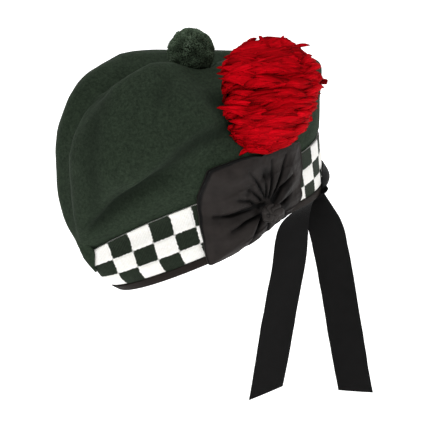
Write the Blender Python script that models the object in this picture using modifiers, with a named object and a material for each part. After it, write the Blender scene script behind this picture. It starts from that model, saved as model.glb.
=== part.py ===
"""A green wool glengarry: folded crown, diced band, cockade, red hackle, toorie and two ribbon tails.

Sizes are in metres. In the hat's own frame the front is -X, the wearer's left is -Y and +Z is up from the
plane of the head opening, whose centre is the origin. An empty tips the hat front down, as it sits on a
head, so the ribbons hang straight down along -Z.
"""

import math

import bmesh
import bpy
import numpy as np
from mathutils import Vector, noise
from mathutils.bvhtree import BVHTree

MM = 0.001

# The cap as a whole
HALF_LENGTH = 148 * MM  # middle of the opening to the crown's furthest reach
HALF_WIDTH = 88.5 * MM
CROWN_HEIGHT = 193 * MM
RIM_LIFT = 7.9 * MM  # the rim arches up along both sides
RIM_LIFT_PLACE = 40.5 * MM
RIM_LIFT_SPREAD = 40.5 * MM
TIP_ANGLE = math.radians(22.5)
GAP = 0.3 * MM  # clearance between touching pieces
SEAT = 1.1 * MM  # clearance at the corners of a piece laid on a rounded one, less between them

# Cloth thicknesses
FELT = 2.4 * MM
BAND_CLOTH = 1.6 * MM
DICE_PILE = 0.8 * MM
BINDING_CLOTH = 1.0 * MM
RIBBON = 1.0 * MM

# Crease, band and edge
GROOVE_DEPTH = 13.5 * MM
GROOVE_WIDTH = 10.4 * MM
GROOVE_TOWARDS = 0.41  # height the crease is pressed towards, as a share of CROWN_HEIGHT
DICE_COLUMNS = 30
DICE_EASE = 0.045  # how much wider the squares are stretched at the front than on average
DICE_ROWS = 3
DICE_JOIN = 0.25 * MM  # how far white squares run over their corners
BINDING_HEIGHT = 7.3 * MM

# Toorie, the pompom on top
TOORIE_RADIUS = 22 * MM
TOORIE_PLACE = (0.214 * HALF_LENGTH, -0.217 * HALF_WIDTH, 0.891 * CROWN_HEIGHT)
TOORIE_TUFT = 2.5 * MM
TOORIE_EVEN = 0.75  # mean length of its tufts, as a share of the longest
TOORIE_SEAT = 2.2 * MM  # slack round the pompom in its dent
TOORIE_DENT_SLOPE = math.radians(65)

# Cockade, on the left of the band, gathered into a knot
COCKADE_REACH = 90.5 * MM
COCKADE_MIDDLE = (0.29 * HALF_LENGTH, 0.119 * CROWN_HEIGHT)  # of its outline, along and up the left side
COCKADE_KNOT = (0.165 * HALF_LENGTH, 0.116 * CROWN_HEIGHT)
COCKADE_RINGS = (0.16, 0.34, 0.54, 0.74, 0.9, 1.0)  # shares of the way from the knot to the edge
COCKADE_PUFF = 7.9 * MM
COCKADE_FLAT = 0.35  # share of the puff that is left where the ribbon is short
COCKADE_FAN = (0.2, 0.8)  # reaches between which the ribbon goes from short to wide
COCKADE_ROLL = (0.97, 0.6)  # how far out the puff ends, and how boxy it is
COCKADE_PLEATS = 12
PLEAT_FULLNESS = (0.55, 0.45)  # mean and swing of the puff from pleat to pleat
COCKADE_EDGE = 1.6 * MM
KNOT_SIZE = (9.4 * MM, 4.7 * MM, 7.8 * MM)
KNOT_LUMP = 0.45
KNOT_REST = 0.38  # share of the puff that lies under the knot

# Hackle, the feather plume above the cockade
HACKLE_BASE = (0.267 * HALF_LENGTH, 0.394 * CROWN_HEIGHT)
HACKLE_LENGTH = 100 * MM
HACKLE_HALF_WIDTH = 49 * MM
HACKLE_HALF_DEPTH = 21.8 * MM
HACKLE_MIDDLE = 0.797 * HALF_WIDTH  # distance of the plume's middle layer from the cap's
HACKLE_BACK = 0.6  # how far that layer stands off, as a share of the depth
HACKLE_LEAN = math.radians(26.5)
HACKLE_LOCKS = 26
HACKLE_LAYERS = 9
HACKLE_ROOT_REACH = 0.93  # locks start here, as a share of the half width
HACKLE_TIP_REACH = (0.97, 1.07)  # short and long locks
HACKLE_TIP_DROOP = (0.10, 0.35)  # as shares of a layer
HACKLE_BACK_STEP = (0.75, 0.25)  # where a layer's root and tip lie on the plain back
HACKLE_LEAST_DEPTH = 4 * MM
HACKLE_END = (0.985, 0.3)  # place of the last point along the length, and half width there
OVER_COCKADE = (0.427 * CROWN_HEIGHT, 0.49 * CROWN_HEIGHT)  # heights where the back comes in above it

# Ribbon tails at the rear
TAIL_WIDTH = 35.5 * MM
TAIL_LENGTH = 233 * MM
TAIL_ROWS = 21
TAIL_PUFF = 2.6 * MM  # how far each root bulges off the band

# The cap's sections from the rim up to the bottom of the crease. Lengths along are shares of
# HALF_LENGTH, widths of HALF_WIDTH and heights of CROWN_HEIGHT; nose is small where the front is blunt.
SECTION_COLUMNS = (
    "front", "rear", "belly", "half_width", "z_front", "z_side", "z_rear", "nose", "groove",
)
CAP_SECTIONS = (
    (-0.754, 0.755, 0.08, 0.82, -0.028, 0.000, -0.026, 0.58, 0.00),
    (-0.823, 0.787, 0.07, 0.85, 0.045, 0.077, 0.043, 0.68, 0.00),
    (-0.850, 0.827, 0.05, 0.87, 0.120, 0.172, 0.138, 0.84, 0.00),
    (-0.862, 0.867, 0.03, 0.90, 0.205, 0.290, 0.230, 1.00, 0.05),
    (-0.932, 0.915, 0.00, 0.98, 0.268, 0.460, 0.310, 0.78, 0.40),
    (-0.855, 0.960, -0.04, 1.00, 0.460, 0.600, 0.380, 0.52, 0.80),
    (-0.805, 1.020, -0.08, 0.92, 0.620, 0.740, 0.450, 0.45, 1.00),
    (-0.716, 1.075, -0.12, 0.74, 0.760, 0.850, 0.510, 0.45, 1.00),
    (-0.600, 1.080, -0.16, 0.50, 0.866, 0.935, 0.550, 0.48, 1.00),
    (-0.450, 1.020, -0.18, 0.28, 0.966, 1.000, 0.570, 0.50, 0.90),
    (-0.410, 0.940, -0.18, 0.13, 0.915, 0.955, 0.560, 0.50, 0.30),
    (-0.360, 0.890, -0.18, 0.00, 0.890, 0.910, 0.535, 0.50, 0.00),
)
BAND_TOP = 3.0  # level of the band's upper edge
BAND_FOOT = 0.06
FRONT_RISE = 2.6  # how late each end of a section leaves the height of its side
REAR_RISE = 1.15
REAR_ROUND = 1.85  # 2 is an ellipse, less is more pointed
NOSE_POWER = (1.8, 1.1)  # roundness of a blunt front, and what a full nose takes off it
CROWN_LEVELS = (3.05, 3.4, 4.0, 4.8, 5.7, 6.6, 7.4, 8.2, 9.0, 9.6, 11.0)  # those above the band
CROWN_SPREAD = (3.06, 3.4)  # levels between which the crown comes out from under the band
FOLD_START = (3.2, 4.5)  # levels between which the side folds begin
SIDE_SKIRT = 29 * MM  # how far the cockade's seat is carried on below the rim

# Soft folds of the crown's sides: ends as shares of HALF_LENGTH and CROWN_HEIGHT, width and depth as
# shares of CROWN_HEIGHT; side is -1 on the left and 1 on the right.
FOLD_COLUMNS = ("side", "x_start", "z_start", "x_end", "z_end", "width", "depth")
FOLDS = (
    (-1, -0.66, 0.43, 0.16, 0.53, 0.075, 0.040),
    (-1, -0.78, 0.33, -0.30, 0.45, 0.050, 0.022),
    (-1, 0.10, 0.69, 0.26, 0.65, 0.060, 0.035),
    (-1, 0.15, 0.85, 0.27, 0.82, 0.110, 0.050),
    (-1, -0.60, 0.59, 0.05, 0.70, 0.090, -0.022),
    (1, -0.60, 0.46, 0.30, 0.55, 0.080, 0.040),
    (1, 0.20, 0.43, 0.70, 0.38, 0.060, 0.030),
    (1, -0.40, 0.63, 0.30, 0.69, 0.090, -0.020),
)

# The cockade's outline round its middle: bearing in degrees from the rear, reach as a share of COCKADE_REACH.
COCKADE_OUTLINE = (
    (6, 0.27), (32, 0.45), (47, 0.61), (70, 0.57), (100, 0.58), (124, 0.82), (134, 0.96), (147, 0.94),
    (164, 0.90), (180, 0.92), (195, 1.00), (203, 0.62), (212, 0.38), (225, 0.26), (241, 0.20), (270, 0.17),
    (290, 0.18), (314, 0.20), (325, 0.23), (340, 0.26),
)

# The hackle from base to top: place along its length, then half width as a share of HACKLE_HALF_WIDTH.
HACKLE_PROFILE = (
    (0.00, 0.32), (0.10, 0.55), (0.22, 0.77), (0.36, 0.89), (0.52, 0.94), (0.66, 1.00), (0.78, 0.94),
    (0.90, 0.68), (1.00, 0.34),
)

# Each tail from its root, sewn on the rear of the band, down to its end. Drop from the rim and forward are
# shares of TAIL_LENGTH, side of HALF_WIDTH and width of TAIL_WIDTH. Turn is the bearing of the width in
# degrees, 90 across the hat, and slant the rise of the rear edge over the front edge as a share of the width.
TAIL_COLUMNS = ("drop", "forward", "side", "width", "turn", "slant")
TAIL_LEFT = (
    (-0.100, 0.026, -0.24, 0.62, -68, 0.00),
    (-0.050, 0.026, -0.26, 0.68, -68, 0.00),
    (0.000, 0.026, -0.29, 0.74, -68, 0.00),
    (0.026, 0.056, -0.34, 0.84, -60, 0.00),
    (0.062, 0.130, -0.46, 0.96, -40, 0.00),
    (0.112, 0.186, -0.54, 1.03, -19, 0.00),
    (0.180, 0.224, -0.58, 1.05, -8, 0.00),
    (0.292, 0.254, -0.60, 1.05, -5, 0.00),
    (0.467, 0.291, -0.61, 1.05, -5, 0.00),
    (0.652, 0.324, -0.61, 1.05, -5, 0.00),
    (0.815, 0.356, -0.61, 1.05, -5, 0.22),
)
TAIL_RIGHT = (
    (-0.090, 0.000, 0.12, 0.46, 90, 0.00),
    (-0.045, 0.000, 0.12, 0.50, 90, 0.00),
    (0.000, 0.000, 0.12, 0.54, 90, 0.00),
    (0.020, 0.004, 0.11, 0.56, 84, 0.00),
    (0.055, 0.003, 0.08, 0.68, 62, 0.00),
    (0.110, 0.000, 0.04, 0.90, 36, 0.00),
    (0.194, -0.036, 0.00, 1.00, 22, 0.00),
    (0.331, -0.073, 0.00, 1.00, 20, 0.00),
    (0.496, -0.108, 0.00, 1.00, 20, 0.00),
    (0.749, -0.157, 0.00, 1.00, 20, 0.00),
    (0.952, -0.202, 0.00, 1.00, 20, -0.10),
)


def catmull_rom(table, places):
    """Rows of a table at fractional row numbers, along a smooth curve through its rows."""
    rows = np.asarray(table, float)
    places = np.asarray(places, float)
    padded = np.vstack([2 * rows[0] - rows[1], rows, 2 * rows[-1] - rows[-2]])
    first = np.clip(np.floor(places).astype(int), 0, len(rows) - 2)
    t = (places - first)[..., None]
    a, b, c, d = (padded[first + k] for k in range(4))
    return 0.5 * (2 * b + (c - a) * t + (2 * a - 5 * b + 4 * c - d) * t**2 + (3 * b - a - 3 * c + d) * t**3)


def cap_surface(angle, level):
    """Outer surface of the cap without its side folds. Angle 0 is the rear, pi the front, left side first."""
    angle, level = np.broadcast_arrays(np.asarray(angle, float), np.asarray(level, float))
    at = dict(zip(SECTION_COLUMNS, np.moveaxis(catmull_rom(CAP_SECTIONS, level), -1, 0)))
    reach = np.abs(np.cos(angle))
    to_rear = np.cos(angle) > 0
    x = at["belly"] + reach * np.where(to_rear, at["rear"] - at["belly"], at["front"] - at["belly"])
    bow = (1 - reach ** (NOSE_POWER[0] - NOSE_POWER[1] * (at["nose"] - 0.5))) ** at["nose"]
    rounding = np.where(to_rear, (1 - reach**REAR_ROUND) ** (1 / REAR_ROUND), bow)
    y = -np.sign(np.sin(angle)) * np.maximum(at["half_width"], 0) * rounding
    rise = np.where(
        to_rear,
        (at["z_rear"] - at["z_side"]) * reach**REAR_RISE,
        (at["z_front"] - at["z_side"]) * reach**FRONT_RISE,
    )
    z = at["z_side"] + rise
    points = np.stack([x * HALF_LENGTH, y * HALF_WIDTH, z * CROWN_HEIGHT], axis=-1)
    lift = RIM_LIFT * np.exp(-(((points[..., 0] - RIM_LIFT_PLACE) / RIM_LIFT_SPREAD) ** 2))
    points[..., 2] += lift * np.clip(1 - level / BAND_TOP, 0, None)
    inward = np.array([0, 0, GROOVE_TOWARDS * CROWN_HEIGHT]) - points * (1, 0, 1)
    inward /= np.linalg.norm(inward, axis=-1, keepdims=True)
    depth = GROOVE_DEPTH * at["groove"] * reach**2 * np.exp(-((points[..., 1] / GROOVE_WIDTH) ** 2))
    return points + inward * depth[..., None]


def cap_normal(angle, level, step=1e-3):
    """Outward unit normals of cap_surface."""
    angle, level = np.broadcast_arrays(np.asarray(angle, float), np.asarray(level, float))
    around = cap_surface(angle + step, level) - cap_surface(angle - step, level)
    up = cap_surface(angle, level + step) - cap_surface(angle, level - step)
    normal = np.cross(up, around)
    return normal / np.maximum(np.linalg.norm(normal, axis=-1, keepdims=True), 1e-12)


def side_level(height):
    """Level at which the cap's side reaches a height above the rim."""
    heights = np.array(CAP_SECTIONS)[:, SECTION_COLUMNS.index("z_side")] * CROWN_HEIGHT
    return float(np.interp(height, heights[:-2], np.arange(len(heights) - 2)))


def dice_levels():
    """Levels of the dicing's row edges, from just over the binding up to the band's top."""
    return np.linspace(side_level(BINDING_HEIGHT + 2 * GAP), BAND_TOP, DICE_ROWS + 1)


def foot_levels():
    """Levels of the rows that the crown and the band share, from the foot up to the band's top."""
    return [BAND_FOOT, side_level(BINDING_HEIGHT), *dice_levels()[1:]]


def cap_offset(angle, level, out):
    """Points a distance outside the cap's surface."""
    angle, level, out = np.broadcast_arrays(angle, level, np.asarray(out, float))
    return cap_surface(angle, level) + cap_normal(angle, level) * out[..., None]


def run_round(level):
    """Angles round the cap at a level, and the distance along it to each, from the rear."""
    angles = np.linspace(0, 2 * math.pi, 2401)
    line = cap_surface(angles, level)
    return angles, np.concatenate([[0], np.cumsum(np.linalg.norm(np.diff(line, axis=0), axis=1))])


def column_angle(column, level):
    """Angles of dice columns from the rear, spaced along the band at each level; above it as at its top."""
    column, level = np.broadcast_arrays(column, np.minimum(level, BAND_TOP))
    turn = 2 * math.pi * column / DICE_COLUMNS
    place = (turn - DICE_EASE * np.sin(turn)) / (2 * math.pi)
    angle = np.empty(column.shape)
    for height in np.unique(level):
        angles, run = run_round(height)
        angle[level == height] = np.interp(place[level == height] * run[-1], run, angles)
    return angle


def cap_grid(levels):
    """Angle and level of the grid that the pieces of the cap share, two columns to a dice square."""
    column, level = np.meshgrid(np.arange(2 * DICE_COLUMNS) / 2, levels)
    return column_angle(column, level), level


def smooth_step(value, low, high):
    share = np.clip((np.asarray(value, float) - low) / (high - low), 0, 1)
    return share * share * (3 - 2 * share)


def fold_depth(points):
    """How far each point of the crown is pressed in by the side folds."""
    depth = np.zeros(points.shape[:-1])
    for row in FOLDS:
        fold = dict(zip(FOLD_COLUMNS, row))
        start = np.array([fold["x_start"] * HALF_LENGTH, fold["z_start"] * CROWN_HEIGHT])
        end = np.array([fold["x_end"] * HALF_LENGTH, fold["z_end"] * CROWN_HEIGHT])
        run = end - start
        place = points[..., (0, 2)] - start
        along = np.clip(place @ run / (run @ run), 0, 1)
        away = np.linalg.norm(place - along[..., None] * run, axis=-1) / (fold["width"] * CROWN_HEIGHT)
        on_side = points[..., 1] * fold["side"] > 0
        depth += on_side * fold["depth"] * CROWN_HEIGHT * np.exp(-(away**2))
    return depth


def press_toorie_seat(points):
    """Presses the crown's ridge down into a bowl under the pompom, with straight sides above."""
    centre = np.array(TOORIE_PLACE)
    clear = TOORIE_RADIUS + GAP + TOORIE_SEAT
    away = np.linalg.norm(points[..., :2] - centre[:2], axis=-1)
    edge = clear * math.sin(TOORIE_DENT_SLOPE)
    floor = -np.sqrt(np.maximum(clear**2 - away**2, 0))
    wall = -clear * math.cos(TOORIE_DENT_SLOPE) + (away - edge) * math.tan(TOORIE_DENT_SLOPE)
    limit = centre[2] + np.where(away < edge, floor, wall)
    return np.concatenate([points[..., :2], np.minimum(points[..., 2], limit)[..., None]], axis=-1)


def fold_crown(points, angle, level):
    """The crown's points with the side folds and the pompom's dent pressed in, above the band only."""
    pressed = fold_depth(points) * smooth_step(level, *FOLD_START)
    return press_toorie_seat(points - cap_normal(angle, level) * pressed[..., None])


def material(name, colour, roughness):
    made = bpy.data.materials.new(name)
    made.use_nodes = True
    shader = made.node_tree.nodes["Principled BSDF"]
    shader.inputs["Base Color"].default_value = (*colour, 1)
    shader.inputs["Roughness"].default_value = roughness
    made.diffuse_color = (*colour, 1)
    return made


def add_object(name, mesh, paint, parent=None):
    made = bpy.data.objects.new(name, mesh)
    made.data.materials.append(paint)
    made.data.shade_smooth()
    made.data.set_sharp_from_angle(angle=math.radians(50))
    bpy.data.collections["glengarry"].objects.link(made)
    made.parent = parent
    return made


def mesh_from(name, points, faces):
    """A mesh of points and faces with touching points welded and the faces turned outwards."""
    mesh = bpy.data.meshes.new(name)
    mesh.from_pydata([tuple(point) for point in points], [], faces)
    shape = bmesh.new()
    shape.from_mesh(mesh)
    bmesh.ops.remove_doubles(shape, verts=shape.verts, dist=0.01 * MM)
    bmesh.ops.recalc_face_normals(shape, faces=shape.faces)
    if shape.calc_volume(signed=True) < 0:
        bmesh.ops.reverse_faces(shape, faces=shape.faces)
    shape.to_mesh(mesh)
    shape.free()
    return mesh


def split(a, b, c, d):
    """A quad's two triangles, split the same way on every piece so that stacked pieces don't touch."""
    return [(a, b, c), (a, c, d)]


def ring_faces(rings, around, closed_rings=False, falling=()):
    """Faces of a grid of rings, each closed on itself; closed_rings joins the last ring to the first.

    Falling lists the rings whose next ring lies lower, which split the other way to match their neighbours.
    """
    faces = []
    for ring in range(rings if closed_rings else rings - 1):
        low, high = ring * around, (ring + 1) % rings * around
        for step in range(around):
            after = (step + 1) % around
            quad = (low + step, low + after, high + after, high + step)
            faces += split(*quad[1:], quad[0]) if ring in falling else split(*quad)
    return faces


def crown_points(levels):
    """The crown's outer surface, drawn in under the band."""
    angle, level = cap_grid(levels)
    under_band = 1 - smooth_step(level, *CROWN_SPREAD)
    points = cap_offset(angle, level, -(BAND_CLOTH + GAP) * under_band)
    return fold_crown(points, angle, level)


def build_crown(paint, parent):
    """The felt crown: a loft open at the rim and closed along the bottom of the crease."""
    points = crown_points([*foot_levels(), *CROWN_LEVELS])
    points[-1, :, 1] = 0
    mesh = mesh_from("crown", points.reshape(-1, 3), ring_faces(*points.shape[:2]))
    crown = add_object("crown", mesh, paint, parent)
    wall = crown.modifiers.new("wall", "SOLIDIFY")
    wall.thickness = FELT
    wall.offset = -1
    return crown


def build_band(paint, parent):
    """The dark ground of the dicing, a strip round the foot of the crown."""
    rows = foot_levels()
    points = np.concatenate([cap_offset(*cap_grid(rows), 0), cap_offset(*cap_grid(rows[::-1]), -BAND_CLOTH)])
    faces = ring_faces(*points.shape[:2], True, range(len(rows), 2 * len(rows)))
    mesh = mesh_from("diced_band", points.reshape(-1, 3), faces)
    return add_object("diced_band", mesh, paint, parent)


def is_white(column, row, join):
    """Whether a place on the dicing lies on a white square, each square run over its corners by join."""
    for i in (math.floor(column - join), math.floor(column + join)):
        for j in (math.floor(row - join), math.floor(row + join)):
            if 0 <= j < DICE_ROWS and (i + j + DICE_COLUMNS // 2) % 2 == 1:
                return True
    return False


def build_dice(paint, parent):
    """The white squares of the dicing, a thin raised lattice joined at its corners."""
    join = DICE_JOIN / run_round(BAND_TOP)[1][-1] * DICE_COLUMNS
    columns = [k + shift for k in range(DICE_COLUMNS) for shift in (-join, join, 0.5)]
    columns = sorted([*columns, DICE_COLUMNS / 2])  # one more edge at the pointed front
    rows = [0]
    for edge in range(1, DICE_ROWS):
        rows += [edge - join, edge + join]
    rows.append(DICE_ROWS)
    count = len(columns)
    levels = np.interp(rows, np.arange(DICE_ROWS + 1), dice_levels())
    column, level = np.meshgrid(np.array(columns) % DICE_COLUMNS, levels)
    angle = column_angle(column, level)
    low = cap_offset(angle, level, GAP)
    high = cap_offset(angle, level, GAP + DICE_PILE)
    points = np.concatenate([low.reshape(-1, 3), high.reshape(-1, 3)])
    layer = count * len(rows)
    filled = set()
    for row in range(len(rows) - 1):
        for step in range(count):
            following = columns[step + 1] if step + 1 < count else columns[0] + DICE_COLUMNS
            if is_white((columns[step] + following) / 2, (rows[row] + rows[row + 1]) / 2, join):
                filled.add((row, step))
    faces = []
    for row, step in sorted(filled):
        after = (step + 1) % count
        below, above = row * count, (row + 1) * count
        corners = (below + step, below + after, above + after, above + step)
        faces += [half[::-1] for half in split(*corners)]
        faces += split(*(corner + layer for corner in corners))
        beside = ((row - 1, step), (row, after), (row + 1, step), (row, (step - 1) % count))
        for side, neighbour in enumerate(beside):
            if neighbour not in filled:
                start, end = corners[side], corners[(side + 1) % 4]
                faces.append((start, end, end + layer, start + layer))
    return add_object("white_dice", mesh_from("white_dice", points, faces), paint, parent)


def build_binding(paint, parent):
    """The tape folded over the rim, outside the band and inside the crown."""
    inner_wall = -(BAND_CLOTH + GAP + FELT)
    top = side_level(BINDING_HEIGHT)
    # Each row is one line of the folded tape: level, distance out and distance down.
    tape = (
        (top, GAP, 0),
        (top, GAP + BINDING_CLOTH, 0),
        (0, GAP + BINDING_CLOTH, 0),
        (0, 0.5 * inner_wall, GAP + BINDING_CLOTH),
        (0, inner_wall - GAP - BINDING_CLOTH, 0),
        (top, inner_wall - GAP - BINDING_CLOTH, 0),
        (top, inner_wall - GAP, 0),
        (0, inner_wall - GAP, 0),
        (0, 0.5 * inner_wall, GAP),
        (0, GAP, 0),
    )
    points = np.concatenate([cap_offset(*cap_grid([level]), out) - (0, 0, down) for level, out, down in tape])
    falling = [ring for ring in range(len(tape) - 1) if tape[ring][0] > tape[ring + 1][0]]
    faces = ring_faces(*points.shape[:2], True, falling)
    mesh = mesh_from("edge_binding", points.reshape(-1, 3), faces)
    return add_object("edge_binding", mesh, paint, parent)


class LeftSide:
    """The left side with its dicing, moved outwards, for laying the cockade and the hackle on it."""

    def __init__(self, out):
        on_band = cap_offset(*cap_grid([0, *foot_levels()[1:]]), GAP + DICE_PILE + out)
        below = on_band[:1] - (0, 0, SIDE_SKIRT)
        above = crown_points(CROWN_LEVELS[1:-1]) + cap_normal(*cap_grid(CROWN_LEVELS[1:-1])) * out
        points = np.concatenate([below, on_band, above])
        rows, around = points.shape[:2]
        faces = [face for face in ring_faces(rows, around) if all(c % around <= around // 2 for c in face)]
        self.tree = BVHTree.FromPolygons([Vector(point) for point in points.reshape(-1, 3)], faces)

    def y_at(self, x, z):
        """The side's y at a place seen from the left, or None beyond its outline."""
        hit = self.tree.ray_cast(Vector((x, -4 * HALF_WIDTH, z)), Vector((0, 1, 0)))[0]
        return hit.y if hit else None


def cockade_edge(bearing):
    """The place on the cockade's outline at a bearing from its middle, and how wide the ribbon fans there."""
    bearings, reaches = np.array(COCKADE_OUTLINE, float).T
    share = float(np.interp(math.degrees(bearing) % 360, bearings, reaches, period=360))
    run = COCKADE_REACH * share * np.array([math.cos(bearing), math.sin(bearing)])
    return np.array(COCKADE_MIDDLE) + run, share


def build_cockade(paint, parent):
    """Gathered ribbon, puffed and pleated round its knot, with a flat back on the band."""
    side = LeftSide(SEAT)
    spokes = 4 * COCKADE_PLEATS
    knot = np.array(COCKADE_KNOT)
    front, back = [], []
    for share in COCKADE_RINGS:
        swell = COCKADE_PUFF * math.sin(math.pi * min(share, COCKADE_ROLL[0])) ** COCKADE_ROLL[1]
        for spoke in range(spokes):
            bearing = 2 * math.pi * spoke / spokes
            edge, fan = cockade_edge(bearing)
            x, z = knot + (edge - knot) * share
            surface = side.y_at(x, z)
            fullness = COCKADE_FLAT + (1 - COCKADE_FLAT) * smooth_step(fan, *COCKADE_FAN)
            pleat = PLEAT_FULLNESS[0] + PLEAT_FULLNESS[1] * math.cos(bearing * COCKADE_PLEATS)
            back.append((x, surface, z))
            front.append((x, surface - COCKADE_EDGE - swell * fullness * pleat, z))
    middle = (knot[0], side.y_at(*knot), knot[1])
    points = back + front + [middle, (middle[0], middle[1] - COCKADE_EDGE, middle[2])]
    rings = len(COCKADE_RINGS)
    layer, rim = rings * spokes, (rings - 1) * spokes
    faces = ring_faces(rings, spokes)
    faces += [tuple(corner + layer for corner in face) for face in faces]
    for spoke in range(spokes):
        after = (spoke + 1) % spokes
        faces.append((rim + spoke, rim + after, rim + after + layer, rim + spoke + layer))
        faces.append((spoke, after, 2 * layer))
        faces.append((layer + spoke, layer + after, 2 * layer + 1))
    return add_object("cockade", mesh_from("cockade", points, faces), paint, parent)


def lumpy_ball(name, centre, size, lump, segments=12, rings=8):
    """A small soft knot: a sphere with seeded lumps, scaled to size."""
    shape = bmesh.new()
    bmesh.ops.create_uvsphere(shape, u_segments=segments, v_segments=rings, radius=1)
    for vert in shape.verts:
        swell = 1 + lump * noise.noise(vert.co * 2.1 + Vector(centre) * 40)
        vert.co = Vector(centre) + Vector([vert.co[k] * swell * size[k] for k in range(3)])
    mesh = bpy.data.meshes.new(name)
    shape.to_mesh(mesh)
    shape.free()
    return mesh


def build_cockade_knot(paint, parent):
    side = LeftSide(SEAT)
    x, z = COCKADE_KNOT
    y = side.y_at(x, z) - COCKADE_EDGE - COCKADE_PUFF * KNOT_REST - KNOT_SIZE[1]
    ball = lumpy_ball("cockade_knot", (x, y, z), KNOT_SIZE, KNOT_LUMP)
    return add_object("cockade_knot", ball, paint, parent)


def build_toorie(paint, parent):
    """The pompom: a ball whose faces are drawn out into short tufts."""
    shape = bmesh.new()
    bmesh.ops.create_icosphere(shape, subdivisions=3, radius=TOORIE_RADIUS - TOORIE_TUFT)
    bmesh.ops.poke(shape, faces=shape.faces)
    for vert in shape.verts:
        out = vert.co.normalized()
        tuft = 1.0 if len(vert.link_edges) == 3 else 0.0
        wave = TOORIE_EVEN + (1 - TOORIE_EVEN) * noise.noise(out * 4)
        vert.co = out * (TOORIE_RADIUS - TOORIE_TUFT + tuft * TOORIE_TUFT * wave) + Vector(TOORIE_PLACE)
    mesh = bpy.data.meshes.new("toorie")
    shape.to_mesh(mesh)
    shape.free()
    return add_object("toorie", mesh, paint, parent)


def build_hackle(paint, parent):
    """The plume: layers of pointed locks on a flat egg-shaped head, its back laid on the crown."""
    side = LeftSide(SEAT + GAP)
    over_puff = COCKADE_EDGE + COCKADE_PUFF / 2
    places, widths = np.array(HACKLE_PROFILE, float).T
    up = np.array([math.sin(HACKLE_LEAN), math.cos(HACKLE_LEAN)])
    across = np.array([up[1], -up[0]])

    def laid(spot, width, turn):
        surface = side.y_at(*spot)
        clear = over_puff * (1 - smooth_step(spot[1], *OVER_COCKADE))
        depth = HACKLE_HALF_DEPTH * width / HACKLE_HALF_WIDTH
        y = -HACKLE_MIDDLE - depth * (HACKLE_BACK + math.sin(turn))
        if surface is not None:
            y = min(y, surface - clear - HACKLE_LEAST_DEPTH * max(math.sin(turn), 0))
        return (spot[0], y, spot[1])

    points = []
    for ring in range(2 * HACKLE_LAYERS):
        layer, tip = divmod(ring, 2)
        for lock in range(HACKLE_LOCKS):
            turn = 2 * math.pi * (lock + 0.5 * (layer % 2)) / HACKLE_LOCKS
            place, flare, droop = (ring + 0.5) / (2 * HACKLE_LAYERS), HACKLE_ROOT_REACH, 0
            if math.sin(turn) > 0:
                place = (layer + HACKLE_BACK_STEP[tip]) / HACKLE_LAYERS
                if tip:
                    flare, droop = HACKLE_TIP_REACH[lock % 2], HACKLE_TIP_DROOP[lock % 2] / HACKLE_LAYERS
            width = HACKLE_HALF_WIDTH * np.interp(place, places, widths) * flare
            spot = np.array(HACKLE_BASE) + up * HACKLE_LENGTH * (place - droop)
            points.append(laid(spot + across * width * math.cos(turn), width, turn))
    base = np.array(HACKLE_BASE)
    ends = (base, base + up * HACKLE_LENGTH * HACKLE_END[0])
    points += [laid(end, HACKLE_END[1] * HACKLE_HALF_WIDTH, 0) for end in ends]
    faces = ring_faces(2 * HACKLE_LAYERS, HACKLE_LOCKS)
    top = (2 * HACKLE_LAYERS - 1) * HACKLE_LOCKS
    for lock in range(HACKLE_LOCKS):
        after = (lock + 1) % HACKLE_LOCKS
        faces.append((lock, after, len(points) - 2))
        faces.append((top + lock, top + after, len(points) - 1))
    return add_object("hackle", mesh_from("hackle", points, faces), paint, parent)


def tipped(point):
    """A point of the hat's frame in the world's frame."""
    x, y, z = point
    return Vector((
        x * math.cos(TIP_ANGLE) - z * math.sin(TIP_ANGLE),
        y,
        x * math.sin(TIP_ANGLE) + z * math.cos(TIP_ANGLE),
    ))


def on_band_rear(y, level, puff=0):
    """The world place of a ribbon's middle layer, sewn over the dicing and the binding at the rear."""
    off = GAP + max(BINDING_CLOTH, GAP + DICE_PILE) + GAP + RIBBON / 2 + puff
    angle = -math.asin(y / (CAP_SECTIONS[0][SECTION_COLUMNS.index("half_width")] * HALF_WIDTH))
    return tipped(cap_offset(angle, level, off))


def build_tail(name, table, paint):
    """One ribbon: its root sewn flat on the band, the rest hanging down to a straight-cut end."""
    root = on_band_rear(0, 0)
    faces, points = [], []
    for row in catmull_rom(table, np.linspace(0, len(table) - 1, TAIL_ROWS)):
        at = dict(zip(TAIL_COLUMNS, row))
        turn = math.radians(at["turn"])
        for share in (-0.5, 0, 0.5):
            step = share * at["width"] * TAIL_WIDTH
            y = at["side"] * HALF_WIDTH - step * math.sin(turn)
            if at["drop"] <= 0:
                puff = TAIL_PUFF * math.sin(math.pi * at["drop"] / table[0][0])
                points.append(on_band_rear(y, side_level(-at["drop"] * TAIL_LENGTH), puff))
                continue
            x = root.x - at["forward"] * TAIL_LENGTH + step * math.cos(turn)
            z = root.z - at["drop"] * TAIL_LENGTH + share * at["slant"] * TAIL_WIDTH
            points.append((x, y, z))
    for corner in range(0, 3 * (TAIL_ROWS - 1), 3):
        faces += [(corner + c, corner + c + 1, corner + c + 4, corner + c + 3) for c in (0, 1)]
    tail = add_object(name, mesh_from(name, points, faces), paint)
    cloth = tail.modifiers.new("cloth", "SOLIDIFY")
    cloth.thickness = RIBBON
    cloth.offset = 0
    return tail


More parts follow.
